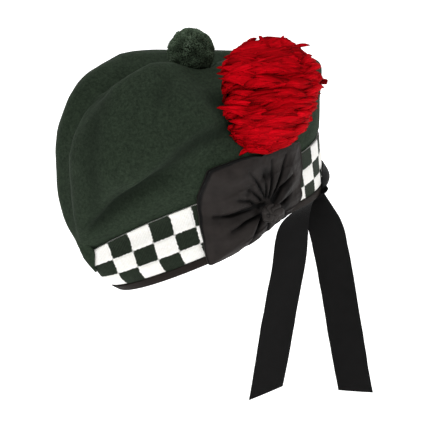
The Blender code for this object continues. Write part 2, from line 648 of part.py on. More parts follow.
def main():
    for leftover in list(bpy.data.objects):
        bpy.data.objects.remove(leftover)
    collection = bpy.data.collections.new("glengarry")
    bpy.context.scene.collection.children.link(collection)
    tip = bpy.data.objects.new("hat_tip", None)
    tip.rotation_euler = (0, -TIP_ANGLE, 0)
    collection.objects.link(tip)
    wool = material("green_wool", (0.020, 0.042, 0.026), 0.9)
    ground = material("dark_green_dicing", (0.012, 0.026, 0.016), 0.9)
    white = material("white_dicing", (0.80, 0.78, 0.72), 0.9)
    tape = material("binding_tape", (0.016, 0.010, 0.009), 0.7)
    silk = material("black_ribbon", (0.016, 0.013, 0.013), 0.5)
    feather = material("red_feather", (0.45, 0.004, 0.008), 0.7)
    build_crown(wool, tip)
    build_band(ground, tip)
    build_dice(white, tip)
    build_binding(tape, tip)
    build_cockade(silk, tip)
    build_cockade_knot(silk, tip)
    build_hackle(feather, tip)
    build_toorie(wool, tip)
    build_tail("tail_left", TAIL_LEFT, silk)
    build_tail("tail_right", TAIL_RIGHT, silk)


main()
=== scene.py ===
"""The looks of a glengarry: felt, knit dicing, gathered silk, a feather hackle and a yarn toorie.

Lengths are in metres. The cap is drawn in its own frame, front -X, wearer's left -Y and +Z up from
the head opening, and each finished mesh is then tipped front down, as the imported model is.
"""

import math
import random
from functools import partial

import bmesh
import bpy
import numpy as np
from mathutils import Matrix, Vector, noise
from mathutils.bvhtree import BVHTree


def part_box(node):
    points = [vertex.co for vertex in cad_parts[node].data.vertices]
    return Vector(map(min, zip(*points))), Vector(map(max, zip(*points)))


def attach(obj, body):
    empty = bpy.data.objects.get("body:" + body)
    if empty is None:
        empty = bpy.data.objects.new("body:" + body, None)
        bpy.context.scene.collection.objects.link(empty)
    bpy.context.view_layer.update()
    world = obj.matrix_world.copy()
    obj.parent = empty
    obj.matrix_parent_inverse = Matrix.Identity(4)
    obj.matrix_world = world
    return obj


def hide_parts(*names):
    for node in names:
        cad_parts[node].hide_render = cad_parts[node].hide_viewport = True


MM = 0.001

# Sizes of the cap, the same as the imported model's
HALF_LENGTH = 148 * MM
HALF_WIDTH = 88.5 * MM
CROWN_HEIGHT = 193 * MM
RIM_LIFT = 7.9 * MM
RIM_LIFT_PLACE = 40.5 * MM
RIM_LIFT_SPREAD = 40.5 * MM
TIP_ANGLE = math.radians(22.5)
GAP = 0.3 * MM
FELT = 2.4 * MM
BAND_CLOTH = 1.6 * MM
DICE_PILE = 0.8 * MM
BINDING_CLOTH = 1.0 * MM
RIBBON = 1.0 * MM
GROOVE_DEPTH = 13.5 * MM
GROOVE_WIDTH = 10.4 * MM
GROOVE_TOWARDS = 0.41
DICE_COLUMNS = 30
DICE_EASE = 0.045
DICE_ROWS = 3
BINDING_HEIGHT = 7.3 * MM
TOORIE_RADIUS = 22 * MM
TOORIE_PLACE = (0.214 * HALF_LENGTH, -0.217 * HALF_WIDTH, 0.891 * CROWN_HEIGHT)
TOORIE_SEAT = 2.2 * MM
TOORIE_DENT_SLOPE = math.radians(65)
COCKADE_REACH = 90.5 * MM
COCKADE_MIDDLE = (0.29 * HALF_LENGTH, 0.119 * CROWN_HEIGHT)
COCKADE_KNOT = (0.165 * HALF_LENGTH, 0.116 * CROWN_HEIGHT)
COCKADE_FLAT = 0.35
COCKADE_FAN = (0.2, 0.8)
COCKADE_ROLL = (0.97, 0.6)
COCKADE_EDGE = 1.6 * MM
COCKADE_PUFF = 7.9 * MM
HACKLE_BASE = (0.267 * HALF_LENGTH, 0.394 * CROWN_HEIGHT)
HACKLE_LENGTH = 100 * MM
HACKLE_HALF_WIDTH = 49 * MM
HACKLE_HALF_DEPTH = 21.8 * MM
HACKLE_MIDDLE = 0.797 * HALF_WIDTH
HACKLE_BACK = 0.6
HACKLE_LEAN = math.radians(26.5)
TAIL_WIDTH = 35.5 * MM
TAIL_LENGTH = 233 * MM
TAIL_PUFF = 2.6 * MM

SECTION_COLUMNS = (
    "front", "rear", "belly", "half_width", "z_front", "z_side", "z_rear", "nose", "groove",
)
CAP_SECTIONS = (
    (-0.754, 0.755, 0.08, 0.82, -0.028, 0.000, -0.026, 0.58, 0.00),
    (-0.823, 0.787, 0.07, 0.85, 0.045, 0.077, 0.043, 0.68, 0.00),
    (-0.850, 0.827, 0.05, 0.87, 0.120, 0.172, 0.138, 0.84, 0.00),
    (-0.862, 0.867, 0.03, 0.90, 0.205, 0.290, 0.230, 1.00, 0.05),
    (-0.932, 0.915, 0.00, 0.98, 0.268, 0.460, 0.310, 0.78, 0.40),
    (-0.895, 0.960, -0.04, 1.00, 0.420, 0.600, 0.380, 0.52, 0.80),
    (-0.825, 1.020, -0.09, 0.92, 0.580, 0.740, 0.450, 0.45, 1.00),
    (-0.738, 1.075, -0.12, 0.74, 0.738, 0.855, 0.510, 0.45, 1.00),
    (-0.610, 1.080, -0.09, 0.50, 0.880, 0.950, 0.550, 0.48, 1.00),
    (-0.490, 1.020, -0.11, 0.28, 0.942, 0.970, 0.570, 0.50, 0.90),
    (-0.410, 0.940, -0.16, 0.13, 0.915, 0.950, 0.560, 0.50, 0.30),
    (-0.360, 0.890, -0.18, 0.00, 0.890, 0.910, 0.535, 0.50, 0.00),
)
# Levels are row numbers of the sections
BAND_TOP = 3.0
BAND_FOOT = 0.06
RIDGE = len(CAP_SECTIONS) - 1
FRONT_RISE = 2.6
REAR_RISE = 1.15
REAR_ROUND = 1.85
NOSE_POWER = (1.8, 1.1)

# Soft folds of the felt: ends as shares of HALF_LENGTH and CROWN_HEIGHT, width and depth as shares
# of CROWN_HEIGHT
FOLD_COLUMNS = ("side", "x_start", "z_start", "x_end", "z_end", "width", "depth")
FOLDS = (
    (-1, -0.66, 0.43, 0.16, 0.53, 0.075, 0.040),
    (-1, -0.78, 0.33, -0.30, 0.45, 0.050, 0.022),
    (-1, 0.10, 0.69, 0.26, 0.65, 0.060, 0.035),
    (-1, 0.15, 0.85, 0.27, 0.82, 0.110, 0.050),
    (-1, -0.60, 0.59, 0.05, 0.70, 0.090, -0.022),
    (1, -0.60, 0.46, 0.30, 0.55, 0.080, 0.040),
    (1, 0.20, 0.43, 0.70, 0.38, 0.060, 0.030),
    (1, -0.40, 0.63, 0.30, 0.69, 0.090, -0.020),
)

# The cockade's outline round its middle: bearing in degrees from the rear, and share of its reach
COCKADE_OUTLINE = (
    (6, 0.27), (32, 0.45), (47, 0.61), (70, 0.57), (100, 0.58), (124, 0.82), (134, 0.96),
    (147, 0.94), (164, 0.90), (180, 0.92), (195, 1.00), (203, 0.62), (212, 0.38), (225, 0.26),
    (241, 0.20), (270, 0.17), (290, 0.18), (314, 0.20), (325, 0.23), (340, 0.26),
)
# The plume's half width along it, both as shares
HACKLE_PROFILE = (
    (0.00, 0.32), (0.10, 0.55), (0.22, 0.77), (0.36, 0.89), (0.52, 0.94), (0.66, 1.00),
    (0.78, 0.94), (0.90, 0.68), (1.00, 0.34),
)

# The ribbons from their roots: drop and forward as shares of TAIL_LENGTH, side of HALF_WIDTH, width
# and slant of TAIL_WIDTH, and turn in degrees
TAIL_COLUMNS = ("drop", "forward", "side", "width", "turn", "slant")
TAIL_LEFT = (
    (-0.100, 0.026, -0.27, 0.74, -68, 0.00),
    (-0.050, 0.026, -0.29, 0.80, -68, 0.00),
    (0.000, 0.026, -0.31, 0.84, -68, 0.00),
    (0.026, 0.060, -0.36, 0.90, -60, 0.00),
    (0.062, 0.150, -0.46, 0.98, -40, 0.00),
    (0.112, 0.212, -0.54, 1.04, -19, 0.00),
    (0.180, 0.237, -0.58, 1.05, -8, 0.00),
    (0.292, 0.254, -0.60, 1.05, -5, 0.00),
    (0.467, 0.291, -0.61, 1.05, -5, 0.00),
    (0.652, 0.324, -0.61, 1.05, -5, 0.00),
    (0.815, 0.356, -0.61, 1.05, -5, 0.22),
)
TAIL_RIGHT = (
    (-0.090, 0.000, 0.12, 0.46, 90, 0.00),
    (-0.045, 0.000, 0.12, 0.50, 90, 0.00),
    (0.000, 0.000, 0.12, 0.54, 90, 0.00),
    (0.020, 0.004, 0.11, 0.56, 84, 0.00),
    (0.055, 0.003, 0.08, 0.68, 62, 0.00),
    (0.110, 0.000, 0.04, 0.90, 36, 0.00),
    (0.194, -0.036, 0.00, 1.00, 22, 0.00),
    (0.331, -0.073, 0.00, 1.00, 20, 0.00),
    (0.496, -0.108, 0.00, 1.00, 20, 0.00),
    (0.749, -0.157, 0.00, 1.00, 20, 0.00),
    (0.952, -0.202, 0.00, 1.00, 20, -0.10),
)


def catmull_rom(table, places):
    """Rows of a table at fractional row numbers, along a smooth curve through its rows."""
    rows = np.asarray(table, float)
    padded = np.vstack([2 * rows[0] - rows[1], rows, 2 * rows[-1] - rows[-2]])
    first = np.clip(np.floor(places).astype(int), 0, len(rows) - 2)
    t = (places - first)[..., None]
    a, b, c, d = (padded[first + k] for k in range(4))
    square, cube = 2 * a - 5 * b + 4 * c - d, 3 * b - a - 3 * c + d
    return 0.5 * (2 * b + (c - a) * t + square * t**2 + cube * t**3)


def cap_surface(angle, level):
    """The cap's outer surface without its folds. Angle 0 is the rear, and pi / 2 the left."""
    angle, level = np.broadcast_arrays(angle, level)
    at = dict(zip(SECTION_COLUMNS, np.moveaxis(catmull_rom(CAP_SECTIONS, level), -1, 0)))
    reach = np.abs(np.cos(angle))
    to_rear = np.cos(angle) > 0
    x = at["belly"] + reach * np.where(to_rear, at["rear"] - at["belly"], at["front"] - at["belly"])
    bow = (1 - reach ** (NOSE_POWER[0] - NOSE_POWER[1] * (at["nose"] - 0.5))) ** at["nose"]
    rounding = np.where(to_rear, (1 - reach**REAR_ROUND) ** (1 / REAR_ROUND), bow)
    y = -np.sign(np.sin(angle)) * np.maximum(at["half_width"], 0) * rounding
    rise = np.where(
        to_rear,
        (at["z_rear"] - at["z_side"]) * reach**REAR_RISE,
        (at["z_front"] - at["z_side"]) * reach**FRONT_RISE,
    )
    z = at["z_side"] + rise
    points = np.stack([x * HALF_LENGTH, y * HALF_WIDTH, z * CROWN_HEIGHT], axis=-1)
    lift = RIM_LIFT * np.exp(-(((points[..., 0] - RIM_LIFT_PLACE) / RIM_LIFT_SPREAD) ** 2))
    points[..., 2] += lift * np.clip(1 - level / BAND_TOP, 0, None)
    inward = np.array([0, 0, GROOVE_TOWARDS * CROWN_HEIGHT]) - points * (1, 0, 1)
    inward /= np.linalg.norm(inward, axis=-1, keepdims=True)
    depth = GROOVE_DEPTH * at["groove"] * reach**2 * np.exp(-((points[..., 1] / GROOVE_WIDTH) ** 2))
    return points + inward * depth[..., None]


def cap_normal(angle, level, step=1e-3):
    around = cap_surface(angle + step, level) - cap_surface(angle - step, level)
    up = cap_surface(angle, level + step) - cap_surface(angle, level - step)
    normal = np.cross(up, around)
    return normal / np.maximum(np.linalg.norm(normal, axis=-1, keepdims=True), 1e-12)


def cap_offset(angle, level, out):
    angle, level, out = np.broadcast_arrays(angle, level, out)
    return cap_surface(angle, level) + cap_normal(angle, level) * out[..., None]


def side_level(height):
    """The level at which the cap's sides reach a height."""
    heights = np.array(CAP_SECTIONS)[:, SECTION_COLUMNS.index("z_side")] * CROWN_HEIGHT
    return float(np.interp(height, heights[:-2], np.arange(len(heights) - 2)))


def run_round(level):
    """Angles round the cap at a level, and the distance along it to each, from the rear."""
    angles = np.linspace(0, 2 * math.pi, 2401)
    line = cap_surface(angles, level)
    return angles, np.concatenate([[0], np.cumsum(np.linalg.norm(np.diff(line, axis=0), axis=1))])


def column_angle(column, level):
    """Angles of dice columns from the rear, spaced along the band; above it as at its top."""
    column, level = np.broadcast_arrays(column, np.minimum(level, BAND_TOP))
    turn = 2 * math.pi * column / DICE_COLUMNS
    place = (turn - DICE_EASE * np.sin(turn)) / (2 * math.pi)
    angle = np.empty(column.shape)
    for height in np.unique(level):
        angles, run = run_round(height)
        angle[level == height] = np.interp(place[level == height] * run[-1], run, angles)
    return angle


def smooth_step(value, low, high):
    share = np.clip((value - low) / (high - low), 0, 1)
    return share * share * (3 - 2 * share)


def from_line(places, start, end):
    """How far each place is from a straight line between two points."""
    run = end - start
    along = np.clip((places - start) @ run / (run @ run), 0, 1)
    return np.linalg.norm(places - start - along[..., None] * run, axis=-1)


def fold_depth(points):
    """How far each point of the felt is pressed in by the side folds."""
    depth = np.zeros(points.shape[:-1])
    for row in FOLDS:
        fold = dict(zip(FOLD_COLUMNS, row))
        start = np.array([fold["x_start"] * HALF_LENGTH, fold["z_start"] * CROWN_HEIGHT])
        end = np.array([fold["x_end"] * HALF_LENGTH, fold["z_end"] * CROWN_HEIGHT])
        away = from_line(points[..., (0, 2)], start, end) / (fold["width"] * CROWN_HEIGHT)
        on_side = points[..., 1] * fold["side"] > 0
        depth += on_side * fold["depth"] * CROWN_HEIGHT * np.exp(-(away**2))
    return depth


def press_toorie_seat(points):
    """Presses the crown's ridge down into a bowl under the toorie."""
    centre = np.array(TOORIE_PLACE)
    clear = TOORIE_RADIUS + GAP + TOORIE_SEAT
    away = np.linalg.norm(points[..., :2] - centre[:2], axis=-1)
    edge = clear * math.sin(TOORIE_DENT_SLOPE)
    floor = -np.sqrt(np.maximum(clear**2 - away**2, 0))
    wall = -clear * math.cos(TOORIE_DENT_SLOPE) + (away - edge) * math.tan(TOORIE_DENT_SLOPE)
    limit = centre[2] + np.where(away < edge, floor, wall)
    return np.concatenate([points[..., :2], np.minimum(points[..., 2], limit)[..., None]], axis=-1)


def rumple(points, scale, seed):
    """Soft noise from -1 to 1 at each point, with features of about the given size."""
    flat = points.reshape(-1, 3) / scale + seed
    return np.array([noise.noise(Vector(p)) for p in flat]).reshape(points.shape[:-1])


# Fine lines of the felt on its left side: width and depth in millimetres, below zero for a raised
# line, the painted shade along it, then places as shares of HALF_LENGTH and CROWN_HEIGHT
FELT_LINES = (
    (4.0, -2.4, 0.0, (
        (-0.84, 0.36), (-0.76, 0.41), (-0.58, 0.49), (-0.45, 0.56), (-0.33, 0.61), (-0.23, 0.63),
        (-0.09, 0.65), (0.02, 0.65),
    )),
    (9.5, 5.0, 0.65, (
        (-0.78, 0.37), (-0.68, 0.40), (-0.59, 0.43), (-0.41, 0.49), (-0.24, 0.57), (-0.11, 0.60),
        (0.12, 0.58),
    )),
    (5.5, 1.8, 0.35, (
        (-0.42, 0.95), (-0.49, 0.89), (-0.59, 0.81), (-0.67, 0.71), (-0.74, 0.56), (-0.79, 0.45),
    )),
    (6.0, 1.6, 0.30, ((-0.09, 0.88), (-0.16, 0.85), (-0.22, 0.83))),
    (5.0, 1.5, 0.20, ((-0.60, 0.51), (-0.72, 0.44), (-0.82, 0.36))),
    (9.0, 3.0, 0.40, ((0.13, 0.72), (0.17, 0.67))),
)

# The cockade's creases and raised rolls, seen from the left: width and depth in millimetres, how
# much the ribbon is painted darker along it, painted shade in the creases, then places in
# millimetres along and up the cap
SILK_LINES = (
    (1.5, 5.4, 1.0, ((-25, 40), (-12, 36), (0, 35), (14, 33), (22, 30))),
    (5.0, 2.4, 0.30, ((-22, 35), (-4, 31), (14, 28))),
    (1.3, 4.2, 1.0, ((-16, 22), (0, 24.5), (12, 24), (20, 23))),
    (1.3, 4.0, 1.0, ((-3, 4), (11, 17), (18, 22))),
    (2.0, -1.6, 0.0, ((0, 13), (9, 20), (17, 25))),
    (1.5, 4.6, 1.0, ((31, 27), (44, 37), (60, 40))),
    (3.5, -1.8, 0.0, ((36, 25), (48, 31), (60, 34))),
    (3.4, 4.2, 1.0, ((31, 56), (33, 60), (36, 56))),
    (1.3, 2.6, 0.8, ((26, 36), (31, 55))),
    (1.3, 2.8, 0.8, ((29, 34), (40, 55), (43, 66))),
    (1.2, 2.6, 0.8, ((20, 36), (13, 50), (9, 54))),
    (2.6, 3.4, 0.9, ((8, 50), (12, 53))),
    (1.2, 2.4, 0.8, ((24, 38), (20, 58), (16, 68))),
    (1.3, 3.4, 0.9, ((31, 30), (50, 50), (60, 62))),
    (1.3, 3.2, 0.9, ((30, 21), (42, 22), (54, 25))),
    (1.3, 3.2, 0.9, ((29, 17), (38, 12), (46, 9))),
    (1.3, 3.0, 0.9, ((26, 14), (29, 6), (31, 0))),
    (1.2, 2.2, 0.8, ((21, 15), (17, 5), (14, 0))),
    (1.3, 3.0, 0.9, ((16, 30), (8, 42), (-2, 48))),
    # This one only darkens the right lobe as a whole, with no crease under it
    (6.0, 0.0, 0.55, ((38, 10), (48, 28), (56, 48))),
)

# Tufts out of the plume's outline: millimetres across from its middle, and share along it
TUFTS = (
    (-47, 0.83), (-54, 0.74), (-54, 0.69), (-52, 0.65), (-44, 0.54), (-51, 0.39), (-41, 0.28),
    (-35, 0.14), (-27, -0.03), (-22, 0.01), (41, 0.96), (42, 0.87), (50, 0.78), (55, 0.59),
    (50, 0.44), (42, 0.24), (34, 0.12), (-13, 1.03), (12, 1.04),
)

# Slow waves of the felt: depth, size and seed
FELT_WAVES = ((1.3 * MM, 42 * MM, 3.1), (0.45 * MM, 13 * MM, 9.7))

# The valley a gathered crease lies in, so many times as wide and deep, and its fading outwards
VALLEY_WIDTH = 3.2
VALLEY_DEPTH = 0.6
CREASE_FADE = 0.55


def line_depth(places, lines, scale, centre=None):
    """How deep and how dark the drawn lines make each place of a side seen flat.

    Lines that are gathered at a centre lie in wide valleys and fade towards their outer ends.
    """
    deep, dark = np.zeros(places.shape[:-1]), np.zeros(places.shape[:-1])
    for width, depth, shade, path in lines:
        corners = np.array(path) * scale
        away = np.min([from_line(places, *ends) for ends in zip(corners, corners[1:])], axis=0)
        away = away / (width * MM)
        fall = np.exp(-(away**2))
        if centre is not None:
            far = np.linalg.norm(corners - centre, axis=-1).max()
            out = smooth_step(np.linalg.norm(places - centre, axis=-1), 0.55 * far, 1.05 * far)
            valley = VALLEY_DEPTH * np.exp(-((away / VALLEY_WIDTH) ** 2))
            fall = (fall + valley) * (1 - CREASE_FADE * out) / 1.4
        deep += depth * MM * fall
        dark = np.maximum(dark, shade * fall)
    return deep, dark


# Mesh helpers


def steps(count, closed):
    return [(k, (k + 1) % count) for k in range(count if closed else count - 1)]


def ring_faces(rings, around, closed_rings=False, closed=True):
    """Faces between rings of points, or between the rows of a sheet that isn't closed."""
    return [
        (low * around + k, low * around + after, high * around + after, high * around + k)
        for low, high in steps(rings, closed_rings)
        for k, after in steps(around, closed)
    ]


def new_piece(name, points, faces, tip=True, turn_out=True, **marks):
    """A smooth mesh object in the world's frame, faces outwards; marks are values at its points."""
    mesh = bpy.data.meshes.new(name)
    mesh.from_pydata([tuple(p) for p in points], [], faces)
    for mark, values in marks.items():
        values = np.asarray(values, float)
        kind = "FLOAT_VECTOR" if values.ndim == 2 else "FLOAT"
        field = "vector" if values.ndim == 2 else "value"
        mesh.attributes.new(mark, kind, "POINT").data.foreach_set(field, values.reshape(-1))
    if turn_out:
        shape = bmesh.new()
        shape.from_mesh(mesh)
        bmesh.ops.remove_doubles(shape, verts=shape.verts, dist=0.005 * MM)
        bmesh.ops.recalc_face_normals(shape, faces=shape.faces)
        if shape.calc_volume(signed=True) < 0:
            bmesh.ops.reverse_faces(shape, faces=shape.faces)
        shape.to_mesh(mesh)
        shape.free()
    if tip:
        mesh.transform(Matrix.Rotation(-TIP_ANGLE, 4, "Y"))
    piece = bpy.data.objects.new(name, mesh)
    bpy.context.scene.collection.objects.link(piece)
    mesh.shade_smooth()
    return piece


def select(*pieces):
    """Selects pieces, the first of them active."""
    bpy.ops.object.select_all(action="DESELECT")
    bpy.context.view_layer.objects.active = pieces[0]
    for piece in pieces:
        piece.select_set(True)


def thicken(piece, thickness, offset):
    """Gives a piece a wall of an even thickness."""
    select(piece)
    wall = piece.modifiers.new("wall", "SOLIDIFY")
    wall.thickness = thickness
    wall.offset = offset
    bpy.ops.object.modifier_apply(modifier=wall.name)
    piece.data.shade_smooth()


def finish_piece(piece, material, node_names):
    piece.data.materials.append(material)
    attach(piece, "root")
    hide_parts(*node_names)
    return piece


# Materials

# Widths of a wave texture's bands at a scale of 1, by their direction
WAVES = {"X": math.pi / 10, "Y": math.pi / 10, "DIAGONAL": math.pi / 5 / math.sqrt(2)}


def colour(hexadecimal):
    """An sRGB hex colour as linear values with alpha."""
    channels = [int(hexadecimal[k : k + 2], 16) / 255 for k in (1, 3, 5)]
    return (*(c / 12.92 if c <= 0.04045 else ((c + 0.055) / 1.055) ** 2.4 for c in channels), 1)


def add_node(tree, kind, *values, out=None, **named):
    """Adds a shader node and gives its output of that name, or else its first one in use.

    A Mix node mixes colours. Values, hex colours or outputs of other nodes fill the node's inputs
    in use in order. Named ones with a capital are inputs too, and the others are its settings.
    """
    node = tree.nodes.new("ShaderNode" + kind)
    if kind == "Mix":
        node.data_type = "RGBA"
    for name, value in named.items():
        if name[0].islower():
            setattr(node, name, value)
    given = list(zip([socket for socket in node.inputs if socket.enabled], values))
    inputs = [name for name in named if name[0].isupper()]
    given += [(node.inputs[name.replace("_", " ")], named[name]) for name in inputs]
    for socket, value in given:
        if isinstance(value, bpy.types.NodeSocket):
            tree.links.new(value, socket)
        else:
            socket.default_value = colour(value) if isinstance(value, str) else value
    return node.outputs[out] if out else next(socket for socket in node.outputs if socket.enabled)


def set_inputs(node, **values):
    """Sets a node's inputs by name, with _ for a space."""
    for name, value in values.items():
        node.inputs[name.replace("_", " ")].default_value = value


def new_material(name, roughness, sheen=0.0, sheen_tint="#ffffff", specular=0.3):
    """A material, a way to add nodes to it, and its shader."""
    made = bpy.data.materials.new(name)
    made.use_nodes = True
    shader = made.node_tree.nodes["Principled BSDF"]
    set_inputs(
        shader, Roughness=roughness, Sheen_Weight=sheen, Sheen_Tint=colour(sheen_tint),
        Sheen_Roughness=0.5, Specular_IOR_Level=specular,
    )
    return made, partial(add_node, made.node_tree), shader


def finish_shader(made, shader, paint, height, strength, distance):
    """Links a colour and a bump to a material's shader."""
    tree = made.node_tree
    bump = add_node(tree, "Bump", Height=height, Strength=strength, Distance=distance)
    tree.links.new(paint, shader.inputs["Base Color"])
    tree.links.new(bump, shader.inputs["Normal"])
    return made


def felted_wool():
    """Milled bottle-green wool: matt and mottled, paler fibres on a dark ground, painted shade in
    folds.

    A real hair is finer than the render can show, so hairs are drawn 0.67 mm wide.
    """
    made, add, shader = new_material("felted_wool", 0.95, 0.05, "#8fa08c", 0.08)
    place = add("TexCoord", out="Object")
    blotch = add("TexNoise", place, Scale=1 / (22.2 * MM), Detail=4.0, Roughness=0.6)
    fleck = add("TexNoise", place, Scale=1 / (2.63 * MM), Detail=4.0, Roughness=0.75)
    hair = add("TexNoise", place, Scale=1 / (0.667 * MM), Detail=2.0, Roughness=0.6)
    ground = add("Mix", blotch, "#181f18", "#263125")
    flecks = add("Math", fleck, 2.6, -0.8, operation="MULTIPLY_ADD", use_clamp=True)
    flecked = add("Mix", flecks, "#0d130e", "#3b4838")
    cloth = add("Mix", 0.42, ground, flecked)
    # Painted shade: the felt is mixed towards near black where the 'deep' mark lies, in its folds
    # and lines
    deep = add("Attribute", attribute_name="deep", out="Fac")
    folded = add("Mix", deep, cloth, "#0d130e")
    height = add("Math", hair, 0.5, fleck, operation="MULTIPLY_ADD")
    return finish_shader(made, shader, folded, height, 0.45, 0.0007)


def knitted_dicing():
    """Close knit wool in off-white and very dark green squares, their edges a stitch out of true.

    The UV map counts squares. A stitch is 1.43 mm wide and 1.28 mm high, about its real size.
    """
    square = 20 * MM
    made, add, shader = new_material("knitted_dicing", 0.9, 0.10, "#c9cfc4", 0.15)
    cloth, place = add("TexCoord", out="UV"), add("TexCoord", out="Object")
    ragged = add("TexNoise", place, Scale=1 / (1.92 * MM), Detail=2.0, out="Color")
    shift = add("VectorMath", ragged, (0.11, 0.13, 0.0), cloth, operation="MULTIPLY_ADD")
    moved = add("VectorMath", shift, (0.055, 0.065, 0), operation="SUBTRACT")
    row = add("Math", add("SeparateXYZ", moved, out="Y"), 0.06, operation="MAXIMUM")
    row = add("Math", row, DICE_ROWS - 0.06, operation="MINIMUM")
    waves = []
    for count in (add("SeparateXYZ", moved, out="X"), row):
        turn = add("Math", count, math.pi, operation="MULTIPLY")
        waves.append(add("Math", turn, operation="SINE"))
    board = add("Math", *waves, operation="MULTIPLY")
    board = add("Math", board, 22.0, 0.5, operation="MULTIPLY_ADD", use_clamp=True)
    above = add("Math", add("SeparateXYZ", cloth, out="Y"), 0.0, operation="GREATER_THAN")
    white = add("Math", board, above, operation="MULTIPLY")
    fibre = add("TexNoise", place, Scale=1 / (2.38 * MM), Detail=3.0)
    dark = add("Mix", fibre, "#10160f", "#263024")
    light = add("Mix", fibre, "#efece3", "#ffffff")
    stitch, course = (
        add(
            "TexWave", cloth, bands_direction=way, Scale=WAVES[way] * square / size,
            Distortion=distortion, Detail=1.0, Detail_Scale=8.0, out="Fac",
        )
        for way, size, distortion in (("X", 1.428 * MM, 1.6), ("Y", 1.282 * MM, 2.0))
    )
    knit = add("Math", course, 0.6, stitch, operation="MULTIPLY_ADD")
    # Painted shade: the white squares darken towards grey in the gaps between their stitches
    gaps = add("Math", knit, -0.14, 0.12, operation="MULTIPLY_ADD", use_clamp=True)
    shaded = add("Mix", gaps, light, "#8e8b80")
    paint = add("Mix", white, dark, shaded)
    return finish_shader(made, shader, paint, knit, 0.5, 0.0005)


def silk(name, low, high, roughness, rib, along="X", sheen=0.04):
    """Woven silk, a low gleam over fine ribs, worn in patches, with painted shade in its creases.

    The UV map and a rib's width are in millimetres. Real ribs of about 0.3 mm are too fine to
    show, so they are drawn coarser.
    """
    made, add, shader = new_material(name, roughness, sheen, "#9a948f", 0.10)
    worn = add("TexNoise", add("TexCoord", out="Object"), Scale=1 / (11.1 * MM), Detail=5.0)
    rib = add(
        "TexWave", add("TexCoord", out="UV"), bands_direction=along, Scale=WAVES[along] / rib,
        Distortion=0.5, Detail=1.0, out="Fac",
    )
    wear = add("Math", worn, 0.9, operation="MULTIPLY")
    thread = add("Math", rib, 0.25, wear, operation="MULTIPLY_ADD")
    cloth = add("Mix", thread, low, high)
    # Painted shade: the cloth is mixed towards black where the 'deep' mark lies, in creases and
    # gathers
    deep = add("Attribute", attribute_name="deep", out="Fac")
    folded = add("Mix", deep, cloth, "#030303")
    return finish_shader(made, shader, folded, rib, 0.35, 0.0004)


def tinted_fibre(name, tones, roughness, sheen, sheen_tint, specular, streaks):
    """Loose dyed fibre, its tone from root to tip, painted light and shade included, in the 'shade'
    attribute.

    The 'grain' attribute runs 0.8 along a lock, so a streak takes about a fifth of its length.
    """
    made, add, shader = new_material(name, roughness, sheen, sheen_tint, specular)
    along = add("Attribute", attribute_name="grain", out="Vector")
    shade = add("Attribute", attribute_name="shade", out="Fac")
    grain = add("TexNoise", along, Scale=6.0, Detail=3.0)
    centred = add("Math", grain, 0.5, operation="SUBTRACT")
    streaked = add("Math", centred, streaks, shade, operation="MULTIPLY_ADD")
    paint = add("ValToRGB", streaked)
    stops = paint.node.color_ramp.elements
    stops[0].color, stops[1].color = colour(tones[0]), colour(tones[-1])
    for k, tone in enumerate(tones[1:-1], 1):
        stops.new(k / (len(tones) - 1)).color = colour(tone)
    return finish_shader(made, shader, paint, grain, 0.3, 0.0004)


# Pieces


def make_crown():
    """The felt crown: soft folds, fine lines with painted shade, and the lip over the band's front.
    """
    per_square = 10
    around = per_square * DICE_COLUMNS
    over_band = BAND_TOP + np.array([0.05, 0.12, 0.2, 0.3])
    levels = np.concatenate([
        np.linspace(BAND_FOOT, BAND_TOP, 6), over_band, np.linspace(BAND_TOP + 0.4, RIDGE, 96),
    ])
    column, level = np.meshgrid(np.arange(around) / per_square, levels)
    angle = column_angle(column, level)
    under_band = 1 - smooth_step(level, BAND_TOP + 0.06, BAND_TOP + 0.4)
    points = cap_offset(angle, level, -(BAND_CLOTH + GAP) * under_band)
    above = smooth_step(level, BAND_TOP + 0.3, BAND_TOP + 1.2) * smooth_step(RIDGE - level, 0, 1.5)
    lines, dark = line_depth(points[..., (0, 2)], FELT_LINES, (HALF_LENGTH, CROWN_HEIGHT))
    on_left = above * smooth_step(-points[..., 1], -2 * MM, 6 * MM)
    folds = fold_depth(points) * smooth_step(level, BAND_TOP + 0.2, BAND_TOP + 1.5)
    waves = sum(depth * rumple(points, size, seed) for depth, size, seed in FELT_WAVES)
    pressed = folds + lines * on_left - above * waves
    points = open_crease(points - cap_normal(angle, level) * pressed[..., None], level)
    points = press_toorie_seat(points)
    points[-1, :, 1] = 0
    # The lines' darkness is painted shade, carried in the 'deep' mark
    faces, dark = ring_faces(len(levels), around), (dark * on_left).reshape(-1)
    crown = new_piece("felt_crown", points.reshape(-1, 3), faces, deep=dark)
    thicken(crown, FELT, -1)
    select(crown, make_lip())
    bpy.ops.object.join()
    return finish_piece(crown, felted_wool(), ["crown"])


def open_crease(points, level):
    """Lets the crease's near edge sink at the front, so that its far side shows over it."""
    depth, middle, width, from_front, to_rear = 12 * MM, -17, 15, (-118, -72), (-14, 16)
    x, y = points[..., 0] / MM, points[..., 1] / MM
    along = smooth_step(x, *from_front) * (1 - smooth_step(x, *to_rear))
    sunk = depth * np.exp(-(((y - middle) / width) ** 2)) * along * smooth_step(level, 6.0, 7.4)
    return points - np.array([0, 0, 1]) * sunk[..., None]


